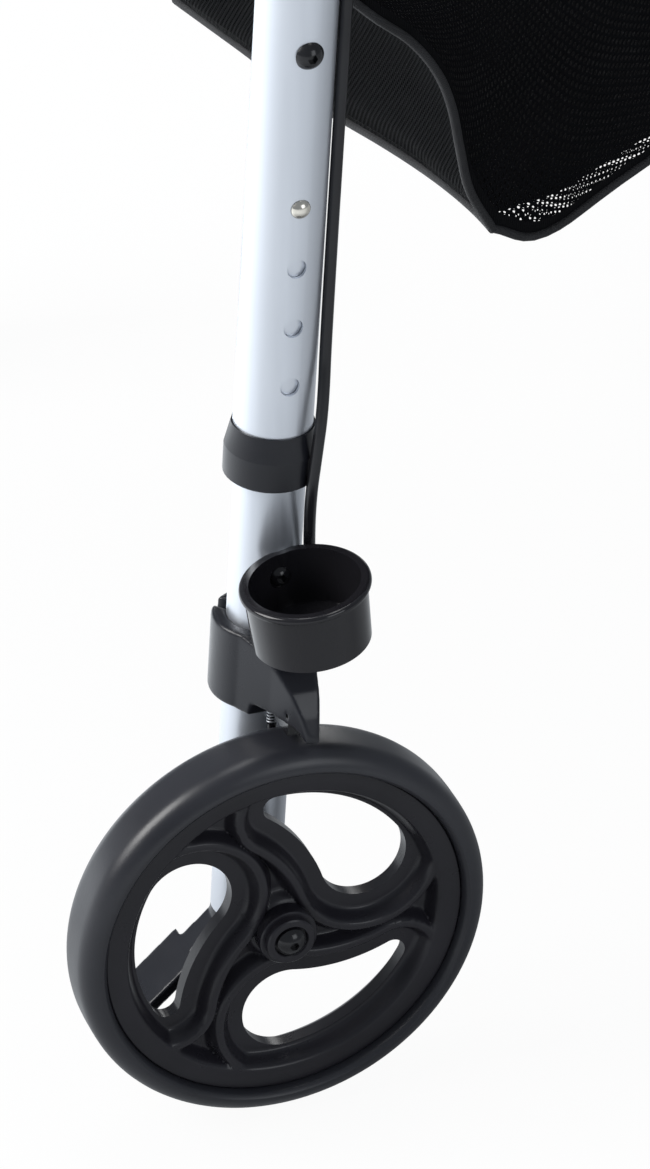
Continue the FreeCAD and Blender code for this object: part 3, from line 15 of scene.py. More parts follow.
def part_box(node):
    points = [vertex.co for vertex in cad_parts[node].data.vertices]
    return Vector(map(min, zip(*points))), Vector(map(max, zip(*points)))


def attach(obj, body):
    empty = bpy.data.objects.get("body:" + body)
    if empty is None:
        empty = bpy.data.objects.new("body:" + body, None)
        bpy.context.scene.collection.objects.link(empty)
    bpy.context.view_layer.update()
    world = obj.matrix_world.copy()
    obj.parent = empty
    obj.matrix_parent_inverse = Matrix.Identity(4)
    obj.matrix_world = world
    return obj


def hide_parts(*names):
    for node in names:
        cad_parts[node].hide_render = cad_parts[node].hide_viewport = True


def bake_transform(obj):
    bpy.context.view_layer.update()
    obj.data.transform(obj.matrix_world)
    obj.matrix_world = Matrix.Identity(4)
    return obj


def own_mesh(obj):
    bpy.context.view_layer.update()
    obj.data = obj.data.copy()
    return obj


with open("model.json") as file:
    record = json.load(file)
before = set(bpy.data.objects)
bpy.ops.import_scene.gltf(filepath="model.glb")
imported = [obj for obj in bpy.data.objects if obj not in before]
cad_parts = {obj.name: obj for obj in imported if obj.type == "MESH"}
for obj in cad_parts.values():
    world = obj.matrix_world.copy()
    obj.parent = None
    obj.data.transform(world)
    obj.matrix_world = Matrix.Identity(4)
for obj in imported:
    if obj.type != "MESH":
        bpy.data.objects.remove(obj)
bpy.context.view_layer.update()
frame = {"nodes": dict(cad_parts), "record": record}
NODES = frame["nodes"]
MM = 0.001
SIDES = ("right", "left")

# The photograph's camera, fitted to the wheel's rim and the leg's holes
IMAGE_H = 1169
FOCAL_PIXELS = 6000.0
SENSOR_MM = 36.0
CLIP_END = 100
CAMERA_FROM_WHEEL = Vector((-0.6884, -1.8433, 1.4318))
CAMERA_YAW = 21.05
CAMERA_PITCH = 32.86

# Sizes shared by several pieces, as in the CAD source
WHEEL_R = 0.0875
LEG_INSET = 0.0345
LEAN = math.radians(3.34)


def centre_of(node):
    low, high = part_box(node)
    return (low + high) / 2


REAR_AXLE = centre_of("rear_tyre_right")
FRONT_AXLE = centre_of("front_tyre_right")
TUBE_Y = -REAR_AXLE.y - LEG_INSET


def leg(x, y, s):
    """A point of the right rear leg's frame as a point of the part's frame."""
    forward = Vector((math.cos(LEAN), 0, -math.sin(LEAN)))
    up = Vector((math.sin(LEAN), 0, math.cos(LEAN)))
    return Vector((REAR_AXLE.x, -TUBE_Y, WHEEL_R)) + forward * x + Vector((0, y, 0)) + up * s


def mirrored(point):
    return Vector((point[0], -point[1], point[2]))


# Camera, lights and stage

def make_camera():
    data = bpy.data.cameras.new("camera")
    data.sensor_width = SENSOR_MM
    data.lens = FOCAL_PIXELS * data.sensor_width / IMAGE_H
    data.clip_end = CLIP_END
    camera = bpy.data.objects.new("camera", data)
    bpy.context.scene.collection.objects.link(camera)
    yaw, pitch = math.radians(CAMERA_YAW), math.radians(CAMERA_PITCH)
    look = Vector((math.sin(yaw) * math.cos(pitch), math.cos(yaw) * math.cos(pitch), -math.sin(pitch)))
    camera.location = REAR_AXLE + CAMERA_FROM_WHEEL
    camera.rotation_mode = "QUATERNION"
    camera.rotation_quaternion = look.to_track_quat("-Z", "Y")
    bpy.context.scene.camera = camera


LAMP_TARGET = (0, 0, 0.45)
# Name, place, width and height, power and colour of each lamp
LAMPS = (
    ("key", (-2.4, 0.2, 2.0), (1.4, 1.8), 85, (1, 0.99, 0.975)),
    ("fill", (0.9, -2.6, 1.5), (1.4, 1.2), 14, (0.93, 0.96, 1)),
    ("top", (0.2, 0.4, 3.2), (1.6, 1.6), 45, (1, 1, 1)),
    ("far_side", (1.0, 2.6, 1.6), (1.8, 1.4), 30, (1, 1, 1)),
)
WORLD_COLOUR = (0.84, 0.91, 1, 1)
WORLD_STRENGTH = 0.34


def area_light(name, place, size, power, colour):
    data = bpy.data.lights.new(name, "AREA")
    data.shape = "RECTANGLE"
    data.size, data.size_y = size
    data.energy = power
    data.color = colour
    light = bpy.data.objects.new(name, data)
    bpy.context.scene.collection.objects.link(light)
    light.location = place
    light.rotation_mode = "QUATERNION"
    light.rotation_quaternion = (Vector(LAMP_TARGET) - Vector(place)).to_track_quat("-Z", "Y")


def make_lights():
    for lamp in LAMPS:
        area_light(*lamp)
    world = bpy.data.worlds.new("world")
    bpy.context.scene.world = world
    world.use_nodes = True
    background = world.node_tree.nodes["Background"]
    background.inputs["Color"].default_value = WORLD_COLOUR
    background.inputs["Strength"].default_value = WORLD_STRENGTH


FLOOR_HALF = 30.0
FLOOR_COLOUR = (0.70, 0.70, 0.71, 1)
# Share of the floor's look that is plain white to the camera; the rest keeps the object's shadow
FLOOR_SHARE = 0.95
# Painted reflection that shiny pieces see in the floor: a point's bearing from the rear wheel, in degrees, and
# its brightness
PAINTED_FLOOR_REFLECTION = (
    (-180, 2.1), (-100, 2.1), (-76, 1.65), (-55, 1.33), (-37, 1.12),
    (30, 1.0), (66, 0.82), (92, 0.5), (125, 0.5), (180, 0.9),
)
PAINTED_FLOOR_REFLECTION_TINT = (0.91, 0.955, 1.0)
# Painted shade in that reflection near the wheel: distance from the wheel and share of that brightness
NEAR_WHEEL_PAINTED_SHADE = ((0.10, 0.42), (0.50, 1.0))


def make_stage():
    """A pale floor that reads as white to the camera, but for the object's faint shadow; shiny pieces see a
    painted reflection in it.
    """
    mesh = bpy.data.meshes.new("floor")
    half = FLOOR_HALF
    corners = [(-half, -half, 0), (half, -half, 0), (half, half, 0), (-half, half, 0)]
    mesh.from_pydata(corners, [], [(0, 1, 2, 3)])
    floor = bpy.data.objects.new("floor", mesh)
    bpy.context.scene.collection.objects.link(floor)
    material = bpy.data.materials.new("floor_white")
    material.use_nodes = True
    tree = material.node_tree
    tree.nodes.clear()
    output = tree.nodes.new("ShaderNodeOutputMaterial")
    mix = tree.nodes.new("ShaderNodeMixShader")
    diffuse = tree.nodes.new("ShaderNodeBsdfDiffuse")
    glow = tree.nodes.new("ShaderNodeEmission")
    path = tree.nodes.new("ShaderNodeLightPath")
    diffuse.inputs["Color"].default_value = FLOOR_COLOUR
    glow.inputs["Strength"].default_value = 1.0
    seen = tree.nodes.new("ShaderNodeMath")
    seen.operation = "MAXIMUM"
    tree.links.new(path.outputs["Is Camera Ray"], seen.inputs[0])
    tree.links.new(path.outputs["Is Transmission Ray"], seen.inputs[1])
    share = tree.nodes.new("ShaderNodeMath")
    share.operation = "MULTIPLY"
    share.inputs[1].default_value = FLOOR_SHARE
    tree.links.new(seen.outputs[0], share.inputs[0])
    tree.links.new(share.outputs[0], mix.inputs["Fac"])
    tree.links.new(diffuse.outputs[0], mix.inputs[1])
    tree.links.new(glow.outputs[0], mix.inputs[2])
    # Glossy rays see the painted reflection, with its painted shade by the wheel, instead of the plain floor.
    both = tree.nodes.new("ShaderNodeMixShader")
    tree.links.new(path.outputs["Is Glossy Ray"], both.inputs["Fac"])
    tree.links.new(mix.outputs[0], both.inputs[1])
    tree.links.new(painted_floor_reflection(tree), both.inputs[2])
    tree.links.new(both.outputs[0], output.inputs["Surface"])
    mesh.materials.append(material)


def map_range(node, from_min, from_max, to_min, to_max):
    """Sets a map range node's four limits."""
    node.inputs["From Min"].default_value = from_min
    node.inputs["From Max"].default_value = from_max
    node.inputs["To Min"].default_value = to_min
    node.inputs["To Max"].default_value = to_max


def painted_floor_reflection(tree):
    """The floor's glow for shiny pieces, a painted reflection: bright on the key light's side, dim elsewhere,
    with painted shade by the wheel.
    """
    place = tree.nodes.new("ShaderNodeTexCoord")
    yaw = math.radians(CAMERA_YAW)
    to_right = Vector((math.cos(yaw), -math.sin(yaw), 0))
    to_camera = Vector((-math.sin(yaw), -math.cos(yaw), 0))
    parts = []
    for direction in (to_right, to_camera):
        along = tree.nodes.new("ShaderNodeVectorMath")
        along.operation = "DOT_PRODUCT"
        along.inputs[1].default_value = direction
        tree.links.new(place.outputs["Object"], along.inputs[0])
        shift = tree.nodes.new("ShaderNodeMath")
        shift.operation = "SUBTRACT"
        shift.inputs[1].default_value = REAR_AXLE.x * direction.x + REAR_AXLE.y * direction.y
        tree.links.new(along.outputs["Value"], shift.inputs[0])
        parts.append(shift.outputs[0])
    bearing = tree.nodes.new("ShaderNodeMath")
    bearing.operation = "ARCTAN2"
    tree.links.new(parts[0], bearing.inputs[0])
    tree.links.new(parts[1], bearing.inputs[1])
    share = tree.nodes.new("ShaderNodeMath")
    share.operation = "MULTIPLY_ADD"
    share.inputs[1].default_value = 0.5 / math.pi
    share.inputs[2].default_value = 0.5
    tree.links.new(bearing.outputs[0], share.inputs[0])
    ramp = tree.nodes.new("ShaderNodeValToRGB")
    elements = ramp.color_ramp.elements
    while len(elements) < len(PAINTED_FLOOR_REFLECTION):
        elements.new(0.5)
    peak = max(value for _, value in PAINTED_FLOOR_REFLECTION)
    for element, (angle, value) in zip(elements, PAINTED_FLOOR_REFLECTION):
        element.position = 0.5 + angle / 360
        element.color = (*(value / peak * tint for tint in PAINTED_FLOOR_REFLECTION_TINT), 1)
    tree.links.new(share.outputs[0], ramp.inputs["Fac"])
    away = tree.nodes.new("ShaderNodeVectorMath")
    away.operation = "DISTANCE"
    away.inputs[1].default_value = (REAR_AXLE.x, REAR_AXLE.y, 0)
    tree.links.new(place.outputs["Object"], away.inputs[0])
    shade = tree.nodes.new("ShaderNodeMapRange")
    (near, low), (far, high) = NEAR_WHEEL_PAINTED_SHADE
    map_range(shade, near, far, low * peak, high * peak)
    tree.links.new(away.outputs["Value"], shade.inputs["Value"])
    glow = tree.nodes.new("ShaderNodeEmission")
    tree.links.new(ramp.outputs["Color"], glow.inputs["Color"])
    tree.links.new(shade.outputs[0], glow.inputs["Strength"])
    return glow.outputs[0]


# Materials

NOISE_MIDDLE = (0.3, 0.7)


class Shader:
    """A principled material with short calls for the nodes that give it detail."""

    def __init__(self, name, **values):
        self.material = bpy.data.materials.new(name)
        self.material.use_nodes = True
        self.tree = self.material.node_tree
        self.main = self.tree.nodes["Principled BSDF"]
        for key, value in values.items():
            self.main.inputs[key.replace("_", " ")].default_value = value
        self.place = self.add("ShaderNodeTexCoord").outputs["Object"]

    def add(self, kind, **settings):
        node = self.tree.nodes.new(kind)
        for key, value in settings.items():
            setattr(node, key, value)
        return node

    def link(self, source, target):
        self.tree.links.new(source, target)

    def math(self, operation, first, second=None, clamp=False):
        node = self.add("ShaderNodeMath", operation=operation, use_clamp=clamp)
        for socket, value in zip(node.inputs, (first, second)):
            if value is None:
                continue
            if isinstance(value, (int, float)):
                socket.default_value = value
            else:
                self.link(value, socket)
        return node.outputs[0]

    def noise(self, scale, detail=3, stretch=None, rough=0.5):
        texture = self.add("ShaderNodeTexNoise")
        texture.inputs["Scale"].default_value = scale
        texture.inputs["Detail"].default_value = detail
        texture.inputs["Roughness"].default_value = rough
        place = self.place
        if stretch:
            mapping = self.add("ShaderNodeMapping")
            mapping.inputs["Scale"].default_value = stretch
            self.link(self.place, mapping.inputs["Vector"])
            place = mapping.outputs[0]
        self.link(place, texture.inputs["Vector"])
        return texture.outputs["Fac"]

    def ramp(self, factor, stops):
        ramp = self.add("ShaderNodeValToRGB")
        elements = ramp.color_ramp.elements
        while len(elements) < len(stops):
            elements.new(0.5)
        for element, (position, colour) in zip(elements, stops):
            element.position = position
            element.color = (*colour, 1) if len(colour) == 3 else colour
        self.link(factor, ramp.inputs["Fac"])
        return ramp.outputs["Color"]

    def spread(self, factor, low, high):
        """The factor's middle range mapped to low..high."""
        node = self.add("ShaderNodeMapRange")
        map_range(node, *NOISE_MIDDLE, low, high)
        self.link(factor, node.inputs["Value"])
        return node.outputs[0]

    def colour(self, source):
        self.link(source, self.main.inputs["Base Color"])

    def roughness(self, source):
        self.link(source, self.main.inputs["Roughness"])

    def bump(self, height, distance, strength=1.0):
        node = self.add("ShaderNodeBump")
        node.inputs["Distance"].default_value = distance
        node.inputs["Strength"].default_value = strength
        previous = self.main.inputs["Normal"]
        if previous.is_linked:
            self.link(previous.links[0].from_socket, node.inputs["Normal"])
        self.link(height, node.inputs["Height"])
        self.link(node.outputs[0], previous)


def anodised():
    """Satin anodised aluminium with faint drawing lines along the tube."""
    m = Shader("anodised_aluminium", Metallic=0.8, IOR=1.6)
    cloud = m.noise(9, 3)
    lines = m.noise(40, 4, (9, 9, 0.25))
    m.colour(m.ramp(cloud, [(0.3, (0.62, 0.65, 0.70)), (0.7, (0.67, 0.70, 0.75))]))
    m.roughness(m.spread(lines, 0.34, 0.42))
    m.bump(m.noise(2600, 2), 0.00002, 0.5)
    m.bump(lines, 0.00003, 0.4)
    return m.material


def silver_paint():
    m = Shader("silver_paint", Metallic=0.65)
    m.colour(m.ramp(m.noise(14, 4), [(0.3, (0.50, 0.52, 0.55)), (0.7, (0.56, 0.58, 0.60))]))
    m.roughness(m.spread(m.noise(60, 4), 0.34, 0.44))
    m.bump(m.noise(1800, 2), 0.00003, 0.5)
    return m.material


# Dark and light colour, least and greatest roughness, scale and depth of the grain
PLASTICS = {
    "matte_plastic": ((0.009, 0.0095, 0.013), (0.014, 0.015, 0.020), 0.26, 0.38, 1500, 0.00005),
    "gloss_plastic": ((0.010, 0.0095, 0.0115), (0.015, 0.0145, 0.017), 0.07, 0.15, 300, 0.00002),
    "rim_plastic": ((0.010, 0.0095, 0.0125), (0.017, 0.016, 0.021), 0.24, 0.36, 500, 0.00004),
    "cable_sheath": ((0.010, 0.010, 0.012), (0.018, 0.018, 0.021), 0.26, 0.36, 1200, 0.00003),
    "black_steel": ((0.007, 0.007, 0.008), (0.013, 0.013, 0.015), 0.12, 0.22, 900, 0.00002),
}


def plastic(name):
    """Moulded black plastic: grain, cloudy gloss and a faint blue cast."""
    dark, light, rough_low, rough_high, grain, depth = PLASTICS[name]
    m = Shader(name, IOR=1.4)
    m.colour(m.ramp(m.noise(22, 4), [(0.3, dark), (0.72, light)]))
    m.roughness(m.spread(m.noise(35, 5), rough_low, rough_high))
    m.bump(m.noise(grain, 3), depth, 0.6)
    return m.material


def tyre_rubber():
    """Smooth grey-black rubber with dull scuffs and a dusty bloom."""
    m = Shader("tyre_rubber", IOR=1.45)
    m.colour(m.ramp(m.noise(16, 6), [(0.3, (0.016, 0.0165, 0.021)), (0.75, (0.024, 0.025, 0.031))]))
    m.roughness(m.spread(m.noise(26, 6), 0.30, 0.44))
    m.bump(m.noise(900, 4), 0.00006, 0.5)
    return m.material


def plated(name, colour, rough):
    m = Shader(name, Metallic=1.0)
    tint = [c * 0.86 for c in colour]
    m.colour(m.ramp(m.noise(90, 4), [(0.3, tint), (0.7, colour)]))
    m.roughness(m.spread(m.noise(200, 4), rough * 0.7, rough * 1.4))
    m.bump(m.noise(1500, 2), 0.00002, 0.5)
    return m.material


def grip_rubber():
    m = Shader("grip_rubber", IOR=1.48)
    m.colour(m.ramp(m.noise(30, 5), [(0.3, (0.020, 0.020, 0.022)), (0.75, (0.034, 0.034, 0.037))]))
    m.roughness(m.spread(m.noise(40, 4), 0.55, 0.72))
    m.bump(m.noise(1400, 3), 0.00012, 0.7)
    return m.material


# Distance between holes, the layout's turn in degrees, and the wave heights where a hole starts and is clear
MESH_PITCH = 0.0021
MESH_TURN = 15
MESH_HOLE = (0.20, 0.55)


def knitted_mesh():
    """Black net with round holes in a honeycomb layout, from UVs in metres."""
    m = Shader("knitted_mesh", Roughness=0.8, IOR=1.3, Specular_IOR_Level=0.12)
    uv = m.add("ShaderNodeUVMap", uv_map="cloth").outputs[0]
    total = None
    turns = 2 * math.pi / (MESH_PITCH * math.cos(math.radians(30)))
    for k in range(3):
        angle = math.radians(60 * k + MESH_TURN)
        dot = m.add("ShaderNodeVectorMath", operation="DOT_PRODUCT")
        dot.inputs[1].default_value = (math.cos(angle) * turns, math.sin(angle) * turns, 0)
        m.link(uv, dot.inputs[0])
        wave = m.math("COSINE", dot.outputs["Value"])
        total = wave if total is None else m.math("ADD", total, wave)
    alpha = m.add("ShaderNodeMapRange")
    map_range(alpha, *MESH_HOLE, 1.0, 0.0)
    m.link(total, alpha.inputs["Value"])
    m.link(alpha.outputs[0], m.main.inputs["Alpha"])
    m.colour(m.ramp(m.noise(30, 4), [(0.3, (0.0018, 0.002, 0.0026)), (0.7, (0.003, 0.0032, 0.004))]))
    m.bump(total, 0.0003, 0.4)
    return m.material


# Dark and light colour, distance between threads, roughness and specular level
CLOTHS = {
    "bag_cloth": ((0.0015, 0.0016, 0.0022), (0.003, 0.0032, 0.004), 0.0009, 0.85, 0.12),
    "binding_tape": ((0.008, 0.008, 0.009), (0.016, 0.016, 0.018), 0.0011, 0.6, 0.5),
    "webbing": ((0.008, 0.008, 0.009), (0.015, 0.015, 0.017), 0.0016, 0.65, 0.5),
}


def woven(name):
    """Plain woven cloth: two crossed sets of threads."""
    dark, light, pitch, rough, gloss = CLOTHS[name]
    m = Shader(name, IOR=1.4, Specular_IOR_Level=gloss)
    m.colour(m.ramp(m.noise(40, 5), [(0.3, dark), (0.7, light)]))
    m.roughness(m.spread(m.noise(60, 4), rough * 0.9, min(1, rough * 1.1)))
    turns = 2 * math.pi / pitch
    threads = None
    for direction in ((turns, 0, turns * 0.7), (0, turns, -turns * 0.7)):
        dot = m.add("ShaderNodeVectorMath", operation="DOT_PRODUCT")
        dot.inputs[1].default_value = direction
        m.link(m.place, dot.inputs[0])
        wave = m.math("SINE", dot.outputs["Value"])
        threads = wave if threads is None else m.math("MULTIPLY", threads, wave)
    m.bump(threads, 0.0003, 0.6)
    m.main.inputs["Sheen Weight"].default_value = 0.02
    return m.material


def vinyl():
    """Grained black upholstery vinyl."""
    m = Shader("vinyl", IOR=1.5)
    cells = m.add("ShaderNodeTexVoronoi", feature="DISTANCE_TO_EDGE")
    cells.inputs["Scale"].default_value = 620
    m.link(m.place, cells.inputs["Vector"])
    m.colour(m.ramp(m.noise(24, 4), [(0.3, (0.012, 0.012, 0.013)), (0.7, (0.022, 0.022, 0.024))]))
    m.roughness(m.spread(m.noise(50, 4), 0.38, 0.52))
    m.bump(cells.outputs["Distance"], 0.0004, 0.6)
    return m.material


MATERIALS = {
    "tube": anodised(),
    "arm": silver_paint(),
    "matte_plastic": plastic("matte_plastic"),
    "gloss_plastic": plastic("gloss_plastic"),
    "rim": plastic("rim_plastic"),
    "tyre": tyre_rubber(),
    "grip": grip_rubber(),
    "cable": plastic("cable_sheath"),
    "black_steel": plastic("black_steel"),
    "nickel": plated("nickel", (0.78, 0.74, 0.66), 0.2),
    "zinc": plated("zinc", (0.62, 0.63, 0.65), 0.32),
    "mesh": knitted_mesh(),
    "cloth": woven("bag_cloth"),
    "binding": woven("binding_tape"),
    "webbing": woven("webbing"),
    "vinyl": vinyl(),
}


def dress_cad_nodes():
    """Gives every CAD node its own slot's material."""
    slots = {row["node"]: row["material_slot"] for row in frame["record"]["subparts"]}
    for name, node in NODES.items():
        material = MATERIALS[slots[name]]
        node.data.materials.clear()
        node.data.materials.append(material)


# Mesh helpers: the turn between faces above which an edge stays sharp

SHARP = math.radians(32)
SHARP_MOULDED = math.radians(50)
SHARP_ROUND = math.radians(60)
SHARP_SOFT = math.radians(70)


def finish_mesh(name, mesh, material, body=None, sharp=SHARP):
    """Smooth object of a mesh, with the edges that turn more than a given angle kept sharp."""
    mesh.validate()
    work = bmesh.new()
    work.from_mesh(mesh)
    bmesh.ops.recalc_face_normals(work, faces=work.faces)
    for edge in work.edges:
        edge.smooth = len(edge.link_faces) == 2 and edge.calc_face_angle(0) < sharp
    for face in work.faces:
        face.smooth = True
    work.to_mesh(mesh)
    work.free()
    obj = bpy.data.objects.new(name, mesh)
    bpy.context.scene.collection.objects.link(obj)
    mesh.materials.append(material)
    if body:
        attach(obj, body)
    return obj


def grid_faces(rows, columns, closed_rows=False, closed_columns=False, start=0):
    """Quads of a grid of points numbered row by row."""
    faces = []
    for i in range(rows if closed_rows else rows - 1):
        for j in range(columns if closed_columns else columns - 1):
            a, b = i * columns + j, i * columns + (j + 1) % columns
            c, d = ((i + 1) % rows) * columns + (j + 1) % columns, ((i + 1) % rows) * columns + j
            faces.append((start + a, start + b, start + c, start + d))
    return faces


def turned_mesh(name, profile, steps):
    """Closed surface turned about Y from (radius, distance along the axis) points, in metres."""
    points = []
    for r, a in profile:
        for k in range(steps):
            angle = 2 * math.pi * k / steps
            points.append((r * math.cos(angle), a, r * math.sin(angle)))
    mesh = bpy.data.meshes.new(name)
    mesh.from_pydata(points, [], grid_faces(len(profile), steps, True, True))
    return mesh


def arc_points(centre, radius, start, end, count):
    """Points on an arc in a plane, with angles in degrees."""
    points = []
    for i in range(count):
        angle = math.radians(start + (end - start) * i / (count - 1))
        points.append((centre[0] + radius * math.cos(angle), centre[1] + radius * math.sin(angle)))
    return points


def smooth_step(x, low, high):
    t = np.clip((x - low) / (high - low), 0, 1)
    return t * t * (3 - 2 * t)


def smooth_max(a, b, blend):
    h = np.clip(0.5 + 0.5 * (a - b) / blend, 0, 1)
    return b * (1 - h) + a * h + blend * h * (1 - h)


# Moulded pieces: the CAD form with its edges rounded as a mould leaves them

# Material slot, voxel in metres and rounds of smoothing
SOFTENED = {
    "brake_housing": ("matte_plastic", 0.0006, 16),
    "kerb_pedal": ("matte_plastic", 0.0007, 8),
    "lever_housing": ("matte_plastic", 0.0008, 6),
    "brake_lever": ("gloss_plastic", 0.0007, 8),
    "caster_fork": ("matte_plastic", 0.0010, 6),
    "rail_cradles": ("matte_plastic", 0.0008, 6),
}


def make_softened():
    bodies = {node: body for body, nodes in frame["record"]["behaviour"]["bodies"].items() for node in nodes}
    for kind, (slot, voxel, rounds) in SOFTENED.items():
        for side in SIDES:
            name = f"{kind}_{side}"
            source = NODES[name]
            obj = bpy.data.objects.new("softening", source.data.copy())
            bpy.context.scene.collection.objects.link(obj)
            even = obj.modifiers.new("even", "REMESH")
            even.mode = "VOXEL"
            even.voxel_size = voxel
            smooth = obj.modifiers.new("smooth", "SMOOTH")
            smooth.iterations = rounds
            bpy.context.view_layer.update()
            graph = bpy.context.evaluated_depsgraph_get()
            mesh = bpy.data.meshes.new_from_object(obj.evaluated_get(graph))
            mesh.transform(source.matrix_world)
            bpy.data.objects.remove(obj)
            mesh.materials.clear()
            shape = finish_mesh(name + "_shape", mesh, MATERIALS[slot], bodies[name], SHARP_MOULDED)
            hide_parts(name)


# Wheels: sizes in millimetres, as in the CAD source

WINDOW_R = 62.0
HEAD_R, HEAD_ANGLE = 18.5, 33.0
TAIL_R, TAIL_ANGLE = 5.5, 91.0
WAIST_R = 70.0
WEB_HALF = 2.5
BORE_R = 4.08
CAP_R, CAP_HALF = 10.3, 17.5
HUB_R, HUB_HALF = 12.3, 14.5
RING_HALF = 10.2
FLANGE_R = 76.6
RIDGE_RISE = (5.6, 10.8)
RIDGE_FALL = (12.8, 17.6)
RIDGE_HALF = 9.4
COVE = (62.6, 68.2)
CREST_AT, CREST_HALF, CREST_DIP = 11.8, 3.0, 0.05
HUB_FOOT_RISE, HUB_FOOT_WIDTH = 5.0, 5.5
COVE_BLEND, HUB_BLEND = 1.2, 1.0
RIM_STEPS = 480
WEB_ROWS = 76
# Radius and half thickness of the turned rows, from the bore to the hub's edge and over the outer ring
HUB_ROWS = (
    (BORE_R, 15.2), (6.9, 15.2), (7.0, CAP_HALF - 0.4), (7.4, CAP_HALF), (9.7, CAP_HALF),
    (CAP_R, CAP_HALF - 0.5), (CAP_R + 0.05, HUB_HALF), (11.8, HUB_HALF), (HUB_R, HUB_HALF - 0.5),
)
RING_ROWS = (
    (72.0, RING_HALF), (FLANGE_R - 0.6, RING_HALF), (FLANGE_R, RING_HALF - 0.5), (FLANGE_R, 7.9),
)
FAR_OUTSIDE = 1e3


def window_distance(x, z):
    """Distance outside the nearest of the rim's three windows, negative inside, in the wheel's plane."""
    def polar(radius, angle):
        return np.array([radius * math.cos(math.radians(angle)), radius * math.sin(math.radians(angle))])

    head, tail = polar(WINDOW_R - HEAD_R, HEAD_ANGLE), polar(WINDOW_R - TAIL_R, TAIL_ANGLE)
    gap = np.linalg.norm(tail - head)
    to_head, to_tail = WAIST_R + HEAD_R, WAIST_R + TAIL_R
    along = (gap ** 2 + to_head ** 2 - to_tail ** 2) / (2 * gap)
    step = (tail - head) / gap
    waist = head + step * along + np.array([-step[1], step[0]]) * math.sqrt(to_head ** 2 - along ** 2)

    def heading(v):
        return math.degrees(math.atan2(v[1], v[0]))

    arcs = [
        (np.zeros(2), WINDOW_R, HEAD_ANGLE, TAIL_ANGLE, 1),
        (tail, TAIL_R, TAIL_ANGLE, heading(tail - waist) + 180, 1),
        (waist, WAIST_R, heading(tail - waist), heading(head - waist), -1),
        (head, HEAD_R, heading(head - waist) + 180, HEAD_ANGLE + 360, 1),
    ]
    best = np.full(x.shape, FAR_OUTSIDE)
    for turn in range(3):
        angle = math.radians(120 * turn)
        u = x * math.cos(angle) - z * math.sin(angle)
        v = x * math.sin(angle) + z * math.cos(angle)
        nearest = np.full(x.shape, FAR_OUTSIDE)
        for centre, radius, start, end, sign in arcs:
            du, dv = u - centre[0], v - centre[1]
            low, high = min(start, end), max(start, end)
            seen = np.degrees(np.arctan2(dv, du))
            inside = (seen - low) % 360 <= high - low
            value = sign * (np.hypot(du, dv) - radius)
            take = inside & (np.abs(value) < np.abs(nearest))
            nearest = np.where(take, value, nearest)
        best = np.where(np.abs(nearest) < FAR_OUTSIDE, np.minimum(best, nearest), best)
    return best


def rim_height(radius, distance):
    """Half thickness of the rim at a place, from its radius and its distance from a window."""
    ridge = smooth_step(distance, *RIDGE_RISE) * (1 - smooth_step(distance, *RIDGE_FALL))
    crest = 1 - CREST_DIP * ((distance - CREST_AT) / CREST_HALF) ** 2
    web = WEB_HALF + (RIDGE_HALF - WEB_HALF) * ridge * np.clip(crest, 0, 1)
    cove = WEB_HALF + (RING_HALF - WEB_HALF) * smooth_step(radius, *COVE)
    hub = WEB_HALF + HUB_FOOT_RISE * (1 - smooth_step(radius, HUB_R, HUB_R + HUB_FOOT_WIDTH))
    return smooth_max(smooth_max(web, cove, COVE_BLEND), hub, HUB_BLEND)


def rim_mesh():
    """Rim as a height field over rings of points on both faces, cut along the windows' outlines."""
    web_rows = [(r, None) for r in np.linspace(HUB_R + 0.12, COVE[1] + 0.1, WEB_ROWS)]
    rows = [*HUB_ROWS, *web_rows, *RING_ROWS]
    angle = np.arange(RIM_STEPS) * 2 * math.pi / RIM_STEPS
    radius = np.array([r for r, _ in rows])[:, None] * np.ones(RIM_STEPS)
    x, z = radius * np.cos(angle), radius * np.sin(angle)
    distance = window_distance(x, z)
    half = rim_height(radius, distance)
    for i, (r, h) in enumerate(rows):
        if h is not None:
            half[i] = h
            distance[i] = FAR_OUTSIDE
    count = len(rows) * RIM_STEPS
    flat_x, flat_z, flat_h, flat_d = (a.ravel() for a in (x, z, half, distance))
    points = [(a, -h, b) for a, b, h in zip(flat_x, flat_z, flat_h)]
    crossing = {}

    def cut(a, b):
        """The point where the window's outline crosses the edge between two grid points."""
        key = (min(a, b), max(a, b))
        if key not in crossing:
            t = flat_d[a] / (flat_d[a] - flat_d[b])
            crossing[key] = count + len(crossing)
            points.append(tuple(points[a][k] * (1 - t) + points[b][k] * t for k in range(3)))
        return crossing[key]

    faces, walls = [], []
    for face in grid_faces(len(rows), RIM_STEPS, False, True):
        outside = [flat_d[k] >= 0 for k in face]
        if all(outside):
            faces.append(face)
            continue
        if not any(outside):
            continue
        corners, cuts = [], []
        for k, (a, b) in enumerate(zip(face, face[1:] + face[:1])):
            if outside[k]:
                corners.append(a)
            if outside[k] != outside[(k + 1) % 4]:
                corners.append(cut(a, b))
                cuts.append(corners[-1])
        if len(corners) > 2:
            faces.append(tuple(corners))
        if len(cuts) == 2:
            walls.append(tuple(cuts))
    total = len(points)
    points += [(a, -h, b) for a, h, b in points]
    faces += [tuple(reversed([k + total for k in face])) for face in faces]
    faces += [(a, b, b + total, a + total) for a, b in walls]
    for row in (0, len(rows) - 1):
        for j in range(RIM_STEPS):
            a, b = row * RIM_STEPS + j, row * RIM_STEPS + (j + 1) % RIM_STEPS
            faces.append((a, b, b + total, a + total))
    mesh = bpy.data.meshes.new("rim")
    mesh.from_pydata([[v * MM for v in p] for p in points], [], faces)
    work = bmesh.new()
    work.from_mesh(mesh)
    loose = [v for v in work.verts if not v.link_faces]
    bmesh.ops.delete(work, geom=loose, context="VERTS")
    work.to_mesh(mesh)
    work.free()
    return mesh


